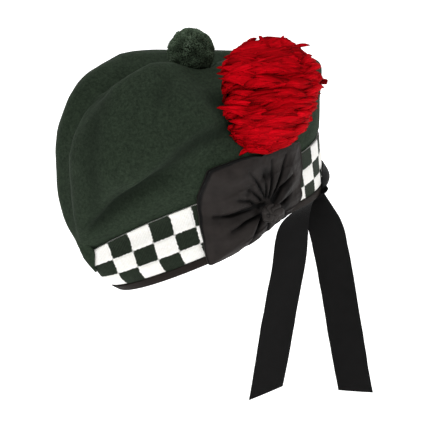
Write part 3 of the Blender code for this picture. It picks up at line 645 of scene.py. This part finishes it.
def make_lip():
    """The crown's felt where it bulges down over the pointed front of the band."""
    rows, columns, top, foot = 34, 25, 4.0, 1.85
    proud, tucked = GAP + DICE_PILE + 1.1 * MM, 1.2 * MM
    levels, sides = np.linspace(top, foot, rows), np.linspace(-1, 1, columns)
    level, side = np.meshgrid(levels, sides, indexing="ij")
    spread = 0.06 + 0.34 * smooth_step(level, foot, 3.2)
    angle = column_angle(DICE_COLUMNS / 2 + side * spread, level)
    into_crown = smooth_step(level, 3.05, top)
    keel = 3.4 * MM * smooth_step(level, 1.8, 2.9) * np.maximum(1 - np.abs(side) ** 1.3, 0)
    out = (1 - into_crown) * (proud + keel) - into_crown * tucked
    points = cap_offset(angle, level, out).reshape(-1, 3)
    faces = ring_faces(rows, columns, closed=False)
    lip = new_piece("felt_lip", points, faces, deep=np.zeros(len(points)))
    if lip.data.polygons[len(lip.data.polygons) // 2].normal.x > 0:
        lip.data.flip_normals()
    thicken(lip, 0.5 * FELT, -1)
    return lip


def make_band():
    """The knitted band, its white squares standing a little higher than the dark ones."""
    per_square, rows_per_square, foot = 24, 20, 0.3
    around = DICE_COLUMNS * per_square
    top = side_level(BINDING_HEIGHT + 2 * GAP)
    dice_rows = np.linspace(0, DICE_ROWS, DICE_ROWS * rows_per_square + 1)
    rows = np.concatenate([[-foot, -foot / 2], dice_rows])
    below = BAND_FOOT + (top - BAND_FOOT) * (1 + rows / foot)
    heights = np.where(rows < 0, below, top + (BAND_TOP - top) * rows / DICE_ROWS)
    column, row = np.meshgrid(np.arange(around) / per_square, rows)
    level = np.meshgrid(np.arange(around), heights)[1]
    angle = column_angle(column, level)
    inside = np.minimum(0.5 - np.abs(column % 1 - 0.5), 0.5 - np.abs(row % 1 - 0.5))
    square = np.floor(column) + np.clip(np.floor(row), 0, DICE_ROWS - 1) + DICE_COLUMNS // 2
    out = DICE_PILE * smooth_step(inside, 0, 0.13) * (square % 2 == 1) * (row >= 0)
    out = out + 0.12 * MM * rumple(cap_surface(angle, level), 5 * MM, 2.2)
    outer = cap_offset(angle, level, out)
    inner = cap_offset(angle[[-1, 0]], level[[-1, 0]], -BAND_CLOTH)
    points = np.concatenate([outer, inner]).reshape(-1, 3)
    band = new_piece("knitted_band", points, ring_faces(len(rows) + 2, around, True))
    places = np.stack([column, row], -1).reshape(-1, 2)
    lay_uv(band, np.concatenate([places, np.zeros((2 * around, 2))]), DICE_COLUMNS)
    return finish_piece(band, knitted_dicing(), ["diced_band", "white_dice"])


def lay_uv(piece, places, whole_turn=None):
    """Gives each corner its point's place, carried on past the seam where a ring closes."""
    layer = piece.data.uv_layers.new(name="cloth")
    for polygon in piece.data.polygons:
        corners = [places[piece.data.loops[k].vertex_index] for k in polygon.loop_indices]
        furthest = max(corner[0] for corner in corners)
        for k, corner in zip(polygon.loop_indices, corners):
            over = whole_turn if whole_turn and furthest - corner[0] > whole_turn / 2 else 0
            layer.data[k].uv = (corner[0] + over, corner[1])


def make_binding():
    """Ribbed tape folded over the rim, slightly uneven where it is eased round."""
    per_square, tape_length = 20, 660
    around = per_square * DICE_COLUMNS
    cloth, face = BINDING_CLOTH, GAP + BINDING_CLOTH
    inner_wall = -(BAND_CLOTH + GAP + FELT)
    lining = inner_wall - GAP
    top = side_level(BINDING_HEIGHT)
    # The tape's profile round the rim: level, distance out, and distance down
    tape = (
        (top, GAP, 0), (top, GAP + 0.8 * cloth, 0), (0.9 * top, face, 0), (0.5 * top, face, 0),
        (0.08 * top, face, 0), (0, GAP + 0.4 * cloth, 0.6 * cloth), (0, 0.5 * inner_wall, face),
        (0, lining - 0.4 * cloth, 0.6 * cloth), (0.08 * top, lining - cloth, 0),
        (top, lining - cloth, 0), (top, lining, 0), (0.03, lining, 0), (0, 0.5 * inner_wall, GAP),
        (0.03, GAP, 0),
    )
    rings = []
    for level, out, down in tape:
        angle = column_angle(np.arange(around) / per_square, np.full(around, level))
        line = cap_offset(angle, level, out)
        ease = 0.22 * MM * rumple(line, 9 * MM, 7.7) if level >= 0.9 * top else 0
        rings.append(line - np.stack([0 * angle, 0 * angle, down + ease + 0 * angle], -1))
    faces = ring_faces(len(tape), around, True)
    binding = new_piece("ribbed_binding", np.concatenate(rings), faces)
    run = np.tile(np.arange(around) * tape_length / around, len(tape))
    lay_uv(binding, np.stack([run, np.repeat(np.arange(len(tape)), around)], -1), tape_length)
    # Petersham, which looks brownish black and nearly matt across its ribs
    paint = silk("ribbed_tape", "#0f0b0a", "#251f1b", 0.7, 0.898)
    return finish_piece(binding, paint, ["edge_binding"])


def side_tree(*pieces):
    """One tree of the faces of finished pieces, for laying others on them."""
    points, faces = [], []
    for piece in pieces:
        base = len(points)
        points += [v.co.copy() for v in piece.data.vertices]
        faces += [tuple(base + k for k in polygon.vertices) for polygon in piece.data.polygons]
    return BVHTree.FromPolygons(points, faces)


def tipped(point):
    return Matrix.Rotation(-TIP_ANGLE, 3, "Y") @ Vector(point)


def left_y(tree, x, z, skirt=0):
    """Where the left side lies at a place of the cap's own frame; None beyond it and its skirt."""
    for step in range(skirt + 1):
        outside = tipped((x, -4 * HALF_WIDTH, z + 2 * step * MM))
        hit = tree.ray_cast(outside, Vector((0, 1, 0)))[0]
        if hit:
            return hit.y
    return None


def cockade_edge(bearing):
    """A place on the cockade's outline, and how wide the ribbon fans there."""
    bearings, reaches = np.array(COCKADE_OUTLINE, float).T
    share = float(np.interp(math.degrees(bearing) % 360, bearings, reaches, period=360))
    way = np.array([math.cos(bearing), math.sin(bearing)])
    return np.array(COCKADE_MIDDLE) + COCKADE_REACH * share * way, share


def cockade_cloth(tree, rings, spokes):
    """Places of the cockade's cloth, the side behind each, its swell, its turned hem in painted
    shadow.
    """
    knot = np.array(COCKADE_KNOT)
    rows = []
    for ring in range(1, rings + 1):
        share = (ring / rings) ** 0.85
        swell = math.sin(math.pi * min(share, COCKADE_ROLL[0])) ** COCKADE_ROLL[1]
        for spoke in range(spokes):
            bearing = 2 * math.pi * spoke / spokes
            degrees = math.degrees(bearing)
            edge, fan = cockade_edge(bearing)
            spot = knot + (edge - knot) * share
            side = left_y(tree, *spot, skirt=24) - 2 * GAP
            fullness = COCKADE_FLAT + (1 - COCKADE_FLAT) * float(smooth_step(fan, *COCKADE_FAN))
            # The hem strip along the top-left edge, raised a little and painted as a dark shadow
            # line
            turned = smooth_step(degrees, 70, 135) * (1 - smooth_step(degrees, 150, 196))
            hem_shadow = smooth_step(share, 0.995 - 0.05 * turned, 1.0 - 0.04 * turned) * (turned > 0)
            rows.append((*spot, side, COCKADE_PUFF * fullness * swell, hem_shadow))
    table = np.array(rows, float)
    return table[:, :2], *table[:, 2:].T


def evened(grid, passes=60):
    """A grid of heights in rings round a centre, with its steps smoothed away."""
    for _ in range(passes):
        inner = np.vstack([grid[:1].mean() + 0 * grid[:1], grid[:-1]])
        outer = np.vstack([grid[1:], grid[-1:]])
        grid = (inner + outer + np.roll(grid, 1, 1) + np.roll(grid, -1, 1)) / 4
    return grid


def make_cockade(tree):
    """Gathered ribbon: puffed lobes and creases round its knot, with painted shade, hemmed at one
    edge.
    """
    spokes, rings = 420, 56
    knot = np.array(COCKADE_KNOT)
    spots, side, swells, hem_shadows = cockade_cloth(tree, rings, spokes)
    deep, dark = line_depth(spots, SILK_LINES, MM, knot)
    side = np.minimum(side, evened(side.reshape(rings, spokes)).reshape(-1))
    held = smooth_step(np.linalg.norm(spots - knot, axis=-1), 4 * MM, 12 * MM)
    creased = 1.25 * deep * held * np.minimum(swells / (3 * MM), 1)
    flat, back = (np.stack([spots[:, 0], y, spots[:, 1]], -1) for y in (0 * side, side))
    ripple = 0.5 * MM * rumple(flat, 9 * MM, 4.4) + 0.25 * MM * rumple(flat, 3.5 * MM, 8.8)
    puff = np.maximum(swells * 1.1 + ripple - creased, 0.15 * MM) + hem_shadows * 0.5 * MM
    front = back - np.outer(COCKADE_EDGE * 0.6 + puff, (0, 1, 0))
    seat = left_y(tree, *knot) - 2 * GAP
    ends = np.array([(knot[0], seat, knot[1]), (knot[0], seat - COCKADE_EDGE, knot[1])])
    layer = rings * spokes
    faces = ring_faces(rings, spokes)
    faces += [tuple(c + layer for c in face) for face in faces]
    rim = (rings - 1) * spokes
    for spoke in range(spokes):
        after = (spoke + 1) % spokes
        faces += [
            (rim + spoke, rim + after, rim + after + layer, rim + spoke + layer),
            (spoke, after, 2 * layer),
            (layer + spoke, layer + after, 2 * layer + 1),
        ]
    # Painted shade in the creases, and the hem painted fully dark as a shadow line along the edge
    shade = np.clip(np.maximum(1.3 * dark, hem_shadows), 0, 1)
    shade = np.concatenate([np.zeros(layer), shade, [0, 1]])
    cockade = new_piece("silk_cockade", np.concatenate([back, front, ends]), faces, deep=shade)
    lay_uv(cockade, [(v.co.x / MM, v.co.z / MM) for v in cockade.data.vertices])
    # Watered silk ribbon, whose pressed ribs run slantwise and break its gleam
    paint = silk("watered_silk", "#141110", "#2f2a28", 0.55, 0.987, "DIAGONAL")
    return finish_piece(cockade, paint, ["cockade"])


def make_knot():
    """The gathered middle of the cockade: a ball pulled into uneven wraps, with painted shade
    between them.
    """
    low, high = (Vector(corner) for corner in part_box("cockade_knot"))
    middle, size = (low + high) / 2, (high - low) / 2 * 1.05
    bpy.ops.mesh.primitive_uv_sphere_add(segments=96, ring_count=64, radius=1, location=(0, 0, 0))
    knot = bpy.context.active_object
    knot.name = "gathered_knot"
    shade_between_wraps = []
    for vert in knot.data.vertices:
        p = vert.co.copy()
        turn = math.atan2(p.z, p.x)
        wrap = abs(math.sin(2.5 * turn + 2.4 * p.y + 2.5 * noise.noise(p * 1.5)))
        swell = 0.80 + 0.22 * wrap**0.6 + 0.20 * noise.noise(p * 1.7 + Vector((4, 2, 7)))
        # Painted shade: the folds between the wraps are mixed towards black through the 'deep' mark
        shade_between_wraps.append(max(0, 1 - 3.5 * wrap))
        vert.co = middle + Vector(p[k] * size[k] * swell for k in range(3))
    knot.data.attributes.new("deep", "FLOAT", "POINT").data.foreach_set("value", shade_between_wraps)
    knot.data.shade_smooth()
    # The same ribbon where it is drawn together, a shade greyer on its wraps
    paint = silk("gathered_silk", "#131110", "#34302e", 0.55, 0.889, "DIAGONAL")
    return finish_piece(knot, paint, ["cockade_knot"])


# A lock's width from root to tip, at rings of four points, and its faces, closed at both ends
STRAND_RINGS = (0.45, 0.8, 1.0, 1.0, 0.95, 0.85, 0.6, 0.14)
STRAND_PLACES = [k / (len(STRAND_RINGS) - 1) for k in range(len(STRAND_RINGS))]
STRAND_TIP = tuple(range(4 * len(STRAND_RINGS) - 4, 4 * len(STRAND_RINGS)))
STRAND_FACES = [*ring_faces(len(STRAND_RINGS), 4), (3, 2, 1, 0), STRAND_TIP]
LOCK_FLATNESS = 0.30
LOCK_LIGHT = 0.42
HEAD_SHARE = 0.84


def clamp(value, low=0.0, high=1.0):
    return min(max(value, low), high)


class Fibres:
    """The points and faces of a piece of many fibres, each point with its tone and streaks."""

    def __init__(self):
        self.points, self.faces, self.shade, self.grain = [], [], [], []

    def add(self, points, faces, shade, grain):
        start = len(self.points)
        self.points += points
        self.faces += [tuple(start + k for k in face) for face in faces]
        self.shade += shade
        self.grain += [tuple(place) for place in grain]

    def piece(self, name):
        marks = {"shade": self.shade, "grain": np.array(self.grain)}
        return new_piece(name, self.points, self.faces, turn_out=False, **marks)


class Plume:
    """The hackle's head, for laying locks on it."""

    def __init__(self, tree):
        self.tree = tree
        self.places, self.widths = np.array(HACKLE_PROFILE, float).T
        self.up = Vector((math.sin(HACKLE_LEAN), 0, math.cos(HACKLE_LEAN)))
        self.across = Vector((math.cos(HACKLE_LEAN), 0, -math.sin(HACKLE_LEAN)))
        self.base = Vector((HACKLE_BASE[0], 0, HACKLE_BASE[1]))

    def width(self, place):
        return HACKLE_HALF_WIDTH * float(np.interp(place, self.places, self.widths))

    def spot(self, place, turn, out):
        """A place on the head: turn 0 is its right edge, pi the left; past either it runs on."""
        held = turn if turn < 0 or turn > math.pi else clamp(turn, 0.2, math.pi - 0.2)
        width = self.width(place) * out
        return self.laid(place, width * (math.cos(held) + (held - turn)), width, math.sin(held))

    def laid(self, place, run, width, front):
        """A place along and across the head, brought out to its face, and clear of the hat."""
        spot = self.base + self.up * HACKLE_LENGTH * place + self.across * run
        depth = HACKLE_HALF_DEPTH * width / HACKLE_HALF_WIDTH
        y = -HACKLE_MIDDLE - depth * (HACKLE_BACK + front)
        surface = left_y(self.tree, spot.x, spot.z)
        if surface is not None:
            y = min(y, surface - 1.2 * MM - 5 * MM * max(front, 0))
        return Vector((spot.x, y, spot.z))


def add_head(plume, fibres):
    """The head under the locks, painted dark as the shade deep among them."""
    rows, around = 28, 40
    points, grain = [], []
    for row in range(rows + 1):
        place = 0.02 + 0.95 * row / rows
        width = plume.width(place) * HEAD_SHARE
        for step in range(around):
            turn = 2 * math.pi * step / around
            points.append(plume.laid(place, width * math.cos(turn), width, math.sin(turn)))
            grain.append((step / 8, row / 2, 0))
    last = rows * around
    ends = [tuple(range(around))[::-1], tuple(range(last, last + around))]
    # The head's low tone is painted shade
    fibres.add(points, ring_faces(rows + 1, around) + ends, [0.08] * len(points), grain)


def add_lock(plume, fibres, draw, path, width, tone):
    """Adds a flat tapered lock along a path, with painted shade at both ends and a painted
    highlight between.
    """
    wide = plume.up + plume.across * draw.uniform(-0.25, 0.25)
    seed = draw.uniform(0, 90)
    points, shade, grain = [], [], []
    for k, (place, along) in enumerate(zip(path, STRAND_PLACES)):
        ahead = (path[min(k + 1, len(path) - 1)] - path[max(k - 1, 0)]).normalized()
        side = (wide - ahead * wide.dot(ahead)).normalized() * (width * STRAND_RINGS[k] / 2)
        thick = ahead.cross(side) * LOCK_FLATNESS
        points += [place + side, place + thick, place - side, place - thick]
        # Painted light: each lock is lit along its middle and shaded at its root and tip
        light = LOCK_LIGHT * math.sin(math.pi * min(along * 0.9 + 0.05, 1))
        shade += [clamp(0.20 + light + tone)] * 4
        grain += [(along * 0.8 + seed, corner * 0.25, seed) for corner in range(4)]
    fibres.add(points, STRAND_FACES, shade, grain)


def add_clumps(plume, fibres, draw):
    """Clumps of locks over the head's front, and fewer behind it, that sweep out to both sides."""
    fronts, backs, locks = 240, 40, 10
    for clump in range(fronts + backs):
        behind = clump >= fronts
        place = 0.03 + 0.95 * (clump + draw.random()) / fronts
        turn = math.acos(draw.uniform(-0.93, 0.93))
        right = draw.random() < 0.5 + 0.75 * math.cos(turn)
        if behind:
            place, turn = 0.45 + 0.53 * (clump - fronts + draw.random()) / backs, -turn
        share = max(plume.width(place) / HACKLE_HALF_WIDTH, 0.35)
        sweep = draw.uniform(0.45, 0.95) / share * (-1 if right != behind else 1)
        climb = draw.uniform(0.0, 0.07) if right else draw.uniform(-0.08, 0.0)
        arch, bulk = draw.uniform(0.012, 0.035), draw.uniform(0.030, 0.060)
        top = draw.uniform(0.97, 1.07) - 0.05 * behind
        # Locks behind the head are painted darker, as shade
        tone = draw.uniform(-0.22, 0.18) - 0.12 * behind
        limit = draw.uniform(0.08, 0.20)
        low, high = (-math.pi, 0) if behind else (limit, math.pi - limit)
        for _ in range(locks):
            off, late = draw.uniform(-1, 1), draw.uniform(-0.12, 0.12)
            wave, phase = draw.uniform(0.002, 0.006), draw.uniform(0, 6.3)
            path = []
            for t in STRAND_PLACES:
                at_turn = clamp(turn + sweep * (t - 0.35 + late), low, high)
                bend = arch * math.sin(math.pi * t) + wave * math.sin(phase + 7 * t)
                at_place = place + climb * t + bend + bulk * off * (1 - 0.75 * t**1.5)
                swell = math.sin(math.pi * min(0.62 * t + 0.08, 0.5))
                out = HEAD_SHARE + (top - HEAD_SHARE - 0.05 * off * off) * swell
                path.append(plume.spot(clamp(at_place), at_turn, out))
            # Locks away from a clump's middle are painted darker, as shade between clumps
            lock_tone = tone + draw.uniform(-0.08, 0.08) - 0.12 * abs(off)
            add_lock(plume, fibres, draw, path, draw.uniform(2.2, 4.4) * MM, lock_tone)


def add_tufts(plume, fibres, draw):
    """The tufts that stand out of the plume's outline."""
    locks = 14
    for side, end in TUFTS:
        for _ in range(locks):
            off = draw.uniform(-1, 1)
            start = clamp(end - 0.02 + 0.045 * off, 0.04, 0.93)
            root = 0.55 + draw.uniform(-0.12, 0.12)
            path = []
            for t in STRAND_PLACES:
                place = start + (end - start) * t**0.8 + 0.012 * math.sin(math.pi * t)
                run = side * MM * (root + (1 - root) * t) * (1 + 0.05 * off * (1 - t))
                share = min(abs(run) / max(plume.width(min(place, 1)) * 1.06, 1 * MM), 1)
                front = math.sqrt(1 - share * share) * 0.98 + 0.06
                path.append(plume.laid(place, run, plume.width(clamp(place)), front))
            width, tone = draw.uniform(1.8, 3.4) * MM, draw.uniform(-0.10, 0.16)
            add_lock(plume, fibres, draw, path, width, tone)


def make_hackle(tree):
    """The plume: a head in painted shade under clumps of long flat locks that run out to both
    sides.
    """
    draw, plume, fibres = random.Random(41), Plume(tree), Fibres()
    add_head(plume, fibres)
    add_clumps(plume, fibres, draw)
    add_tufts(plume, fibres, draw)
    # Dyed cock's feather, a deep red with no gloss; its pale tones are painted highlight, its
    # darkest painted shade
    tones = ("#3a0002", "#740004", "#9c010a", "#bb0210", "#dc0a1c")
    paint = tinted_fibre("dyed_feather", tones, 0.75, 0.0, "#ff6a5a", 0.02, 0.8)
    return finish_piece(fibres.piece("feather_hackle"), paint, ["hackle"])


def way_out(z, turn):
    """A unit vector at a height and a turn about +Z."""
    level = math.sqrt(1 - z * z)
    return Vector((level * math.cos(turn), level * math.sin(turn), z))


def make_toorie():
    """The yarn pompom: a core in painted shade with clipped ends of wool standing out all over."""
    draw, centre, yarn = random.Random(17), Vector(TOORIE_PLACE), Fibres()
    core, rows, around = TOORIE_RADIUS - 4 * MM, 20, 24
    outs = [
        way_out(math.cos(math.pi * row / rows), 2 * math.pi * step / around)
        for row in range(rows + 1)
        for step in range(around)
    ]
    # The core's low tone is painted shade deep in the pompom
    points, shade = [centre + out * core for out in outs], [0.02] * len(outs)
    yarn.add(points, ring_faces(rows + 1, around), shade, [out * 3 for out in outs])
    ends, sides, root, thickness = 3800, 4, 0.9 * core, 0.72 * MM
    golden = math.pi * (3 - math.sqrt(5))
    rings = ((0.0, 0.7), (0.75, 1.0), (0.94, 0.85), (1.0, 0.4))
    tip = tuple(range(sides * len(rings) - sides, sides * len(rings)))
    faces = [*ring_faces(len(rings), sides), tip]
    for k in range(ends):
        out = way_out(1 - 2 * (k + 0.5) / ends, golden * k)
        lean = Vector((draw.gauss(0, 1), draw.gauss(0, 1), draw.gauss(0, 1))) * 0.10
        ahead = (out + lean).normalized()
        clump = noise.noise(out * 3.1 + Vector((5, 1, 2)))
        length = TOORIE_RADIUS * draw.uniform(0.96, 1.01) + 1.2 * MM * clump - 0.2 * MM
        side = ahead.orthogonal().normalized()
        other = ahead.cross(side)
        spin = draw.uniform(0, 6.3)
        # Painted light: ends on the top of the pompom are lighter, as lit from above; clumps differ
        # in tone at random
        tone = draw.uniform(-0.14, 0.14) + 0.4 * clump + 0.20 * out.z
        seed = draw.uniform(0, 90)
        points, shade, grain = [], [], []
        for share, thick in rings:
            for corner in range(sides):
                angle = spin + 2 * math.pi * corner / sides
                reach = thickness * thick * (1 + 0.25 * draw.uniform(-1, 1))
                spread = side * math.cos(angle) * reach + other * math.sin(angle) * reach
                points.append(centre + out * root + ahead * (length - root) * share + spread)
                # Painted shade: each end darkens towards its root, deep in the pompom
                shade.append(clamp(0.42 * share**3 + tone * share + 0.10))
                grain.append((share * 0.6 + seed, corner * 0.3, seed))
        yarn.add(points, faces, shade, grain)
    # Clipped wool yarn: soft and matt, each cut end paler than the painted shade of the depth
    # between
    tones = ("#0e130d", "#222c20", "#364334", "#4b5a48", "#667563")
    paint = tinted_fibre("clipped_yarn", tones, 0.9, 0.08, "#a0b094", 0.1, 0.5)
    return finish_piece(yarn.piece("yarn_toorie"), paint, ["toorie"])


def on_band_rear(y, level, puff):
    """The world place of a ribbon's middle layer, sewn over the dicing and binding at the rear."""
    off = GAP + max(BINDING_CLOTH, GAP + DICE_PILE) + GAP + RIBBON / 2 + puff
    rear_half_width = CAP_SECTIONS[0][SECTION_COLUMNS.index("half_width")] * HALF_WIDTH
    return tipped(cap_offset(-math.asin(y / rear_half_width), level, off))


def make_tail(name, table, node_name, paint):
    """A ribbon gathered onto the band's rear, softly curled across, its edges a little uneven."""
    lengths, cells = 160, 16
    seed = 3.0 if name.endswith("left") else 8.0
    root = on_band_rear(0, 0, 0)
    rows = []
    for row in catmull_rom(table, np.linspace(0, len(table) - 1, lengths)):
        at = dict(zip(TAIL_COLUMNS, row))
        drop, turn = at["drop"], math.radians(at["turn"])
        hang = float(smooth_step(drop, 0.02, 0.2))
        away = Vector((math.sin(turn), -math.cos(turn), 0))
        line = []
        for cell in range(cells + 1):
            share = cell / cells - 0.5
            step = share * at["width"] * TAIL_WIDTH
            edge = (2 * share) ** 5 * 0.5 * MM * noise.noise(Vector((seed, drop * 14, share)))
            y = at["side"] * HALF_WIDTH - step * math.sin(turn)
            bulge = 1 - (2 * share) ** 2
            gather = 0.4 * MM * (1 - hang) * abs(math.cos(share * 7 * math.pi)) * bulge
            curl = hang * 1.2 * MM * math.cos(share * math.pi) * math.sin(7 * drop + 1)
            if drop <= 0:
                puff = 1.9 * TAIL_PUFF * math.sin(math.pi * drop / table[0][0]) * bulge + gather
                line.append(on_band_rear(y, side_level(-drop * TAIL_LENGTH), puff))
                continue
            line.append(away * (curl + gather) + Vector((
                root.x - at["forward"] * TAIL_LENGTH + (step + edge) * math.cos(turn),
                y - edge * math.sin(turn),
                root.z - drop * TAIL_LENGTH + share * at["slant"] * TAIL_WIDTH,
            )))
        rows.append(line)
    middle = [line[cells // 2] for line in rows]
    runs = np.cumsum([0.0] + [(b - a).length for a, b in zip(middle, middle[1:])])
    across = [cell / cells * TAIL_WIDTH / MM for cell in range(cells + 1)]
    points = [spot for line in rows for spot in line]
    faces = ring_faces(lengths, cells + 1, closed=False)
    tail = new_piece(name, points, faces, tip=False, deep=np.zeros(len(points)))
    lay_uv(tail, [(place, run / MM) for run in runs for place in across])
    thicken(tail, 0.7 * RIBBON, 0)
    tail.data.set_sharp_from_angle(angle=math.radians(50))
    finish_piece(tail, paint, [node_name])


# Stage, light and camera


# The photograph's view: its size in pixels, the hat's origin in it, a pixel's size at the hat, how
# far away the camera stands, and how far round to the front and above it is
PHOTO_SIZE = 430
PHOTO_CENTRE = (218.5, 228.5)
PIXEL = 0.9522 * MM
CAMERA_AWAY = 1.4737
CAMERA_ROUND = math.radians(25)
CAMERA_ABOVE = math.radians(12)
SENSOR = 36


def make_stage():
    """A white floor that runs up into a white backdrop."""
    floor_z, back, bend = -0.20, 1.6, 0.9
    curve = [
        (back + bend * math.sin(a), floor_z + bend * (1 - math.cos(a)))
        for a in np.linspace(0, math.pi / 2, 13)
    ]
    profile = [(-3.0, floor_z), *curve, (back + bend, 3.5)]
    heading = Matrix.Rotation(-CAMERA_ROUND, 4, "Z")
    points = [heading @ Vector((x, y, z)) for y, z in profile for x in (-4, 4)]
    faces = [(2 * k, 2 * k + 1, 2 * k + 3, 2 * k + 2) for k in range(len(profile) - 1)]
    sweep = new_piece("studio_sweep", points, faces, tip=False, turn_out=False)
    # Matt paper, lit until it shows pure white
    made, _, shader = new_material("white_paper", 0.9, specular=0.1)
    white = colour("#ffffff")
    set_inputs(shader, Base_Color=white, Emission_Color=white, Emission_Strength=0.62)
    sweep.data.materials.append(made)


def add_light(name, place, size, power):
    """A square softbox turned to the hat."""
    lamp = bpy.data.lights.new(name, "AREA")
    lamp.shape = "SQUARE"
    lamp.size = size
    lamp.energy = power
    holder = bpy.data.objects.new(name, lamp)
    holder.location = place
    to_hat = Vector((0, 0, 30 * MM)) - Vector(place)
    holder.rotation_euler = to_hat.to_track_quat("-Z", "Y").to_euler()
    bpy.context.scene.collection.objects.link(holder)


def make_lights():
    """Three softboxes and an even sky, which the camera itself sees as white."""
    add_light("key_softbox", (-0.9, -1.3, 1.5), 1.0, 15)
    add_light("fill_softbox", (1.5, -1.0, 0.7), 1.4, 5)
    add_light("top_softbox", (0.1, 0.3, 1.9), 1.2, 12)
    world = bpy.context.scene.world or bpy.data.worlds.new("studio")
    bpy.context.scene.world = world
    world.use_nodes = True
    tree = world.node_tree
    sky = tree.nodes["Background"]
    set_inputs(sky, Color=colour("#ffffff"))
    seen = add_node(tree, "LightPath", out="Is Camera Ray")
    strength = add_node(tree, "Math", seen, 0.6, 0.42, operation="MULTIPLY_ADD")
    tree.links.new(strength, sky.inputs["Strength"])
    bpy.context.scene.view_settings.view_transform = "Standard"


def make_camera():
    level = math.cos(CAMERA_ABOVE)
    back = Vector((
        -math.sin(CAMERA_ROUND) * level, -math.cos(CAMERA_ROUND) * level, math.sin(CAMERA_ABOVE),
    ))
    lens = bpy.data.cameras.new("camera")
    lens.sensor_width = SENSOR
    lens.lens = SENSOR * CAMERA_AWAY / PIXEL / PHOTO_SIZE
    lens.shift_x = 0.5 - PHOTO_CENTRE[0] / PHOTO_SIZE
    lens.shift_y = PHOTO_CENTRE[1] / PHOTO_SIZE - 0.5
    camera = bpy.data.objects.new("camera", lens)
    camera.location = back * CAMERA_AWAY
    camera.rotation_euler = back.to_track_quat("Z", "Y").to_euler()
    bpy.context.scene.collection.objects.link(camera)
    bpy.context.scene.camera = camera


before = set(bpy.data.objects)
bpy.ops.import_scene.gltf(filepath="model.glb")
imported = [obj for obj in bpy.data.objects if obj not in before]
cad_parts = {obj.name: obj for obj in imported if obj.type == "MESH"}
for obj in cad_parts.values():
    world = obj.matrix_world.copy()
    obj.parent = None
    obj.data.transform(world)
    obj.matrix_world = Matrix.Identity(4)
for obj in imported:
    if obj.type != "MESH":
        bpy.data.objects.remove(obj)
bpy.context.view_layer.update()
make_camera()
make_stage()
make_lights()
felt = make_crown()
band = make_band()
tape = make_binding()
hat_side = side_tree(felt, band, tape)
cockade = make_cockade(hat_side)
knot = make_knot()
make_hackle(hat_side)
make_toorie()
# Plain woven ribbon, flat black with hardly any gleam
ribbon = silk("plain_ribbon", "#020202", "#0c0b0b", 0.65, 0.524, "Y", 0.01)
make_tail("ribbon_tail_left", TAIL_LEFT, "tail_left", ribbon)
make_tail("ribbon_tail_right", TAIL_RIGHT, "tail_right", ribbon)
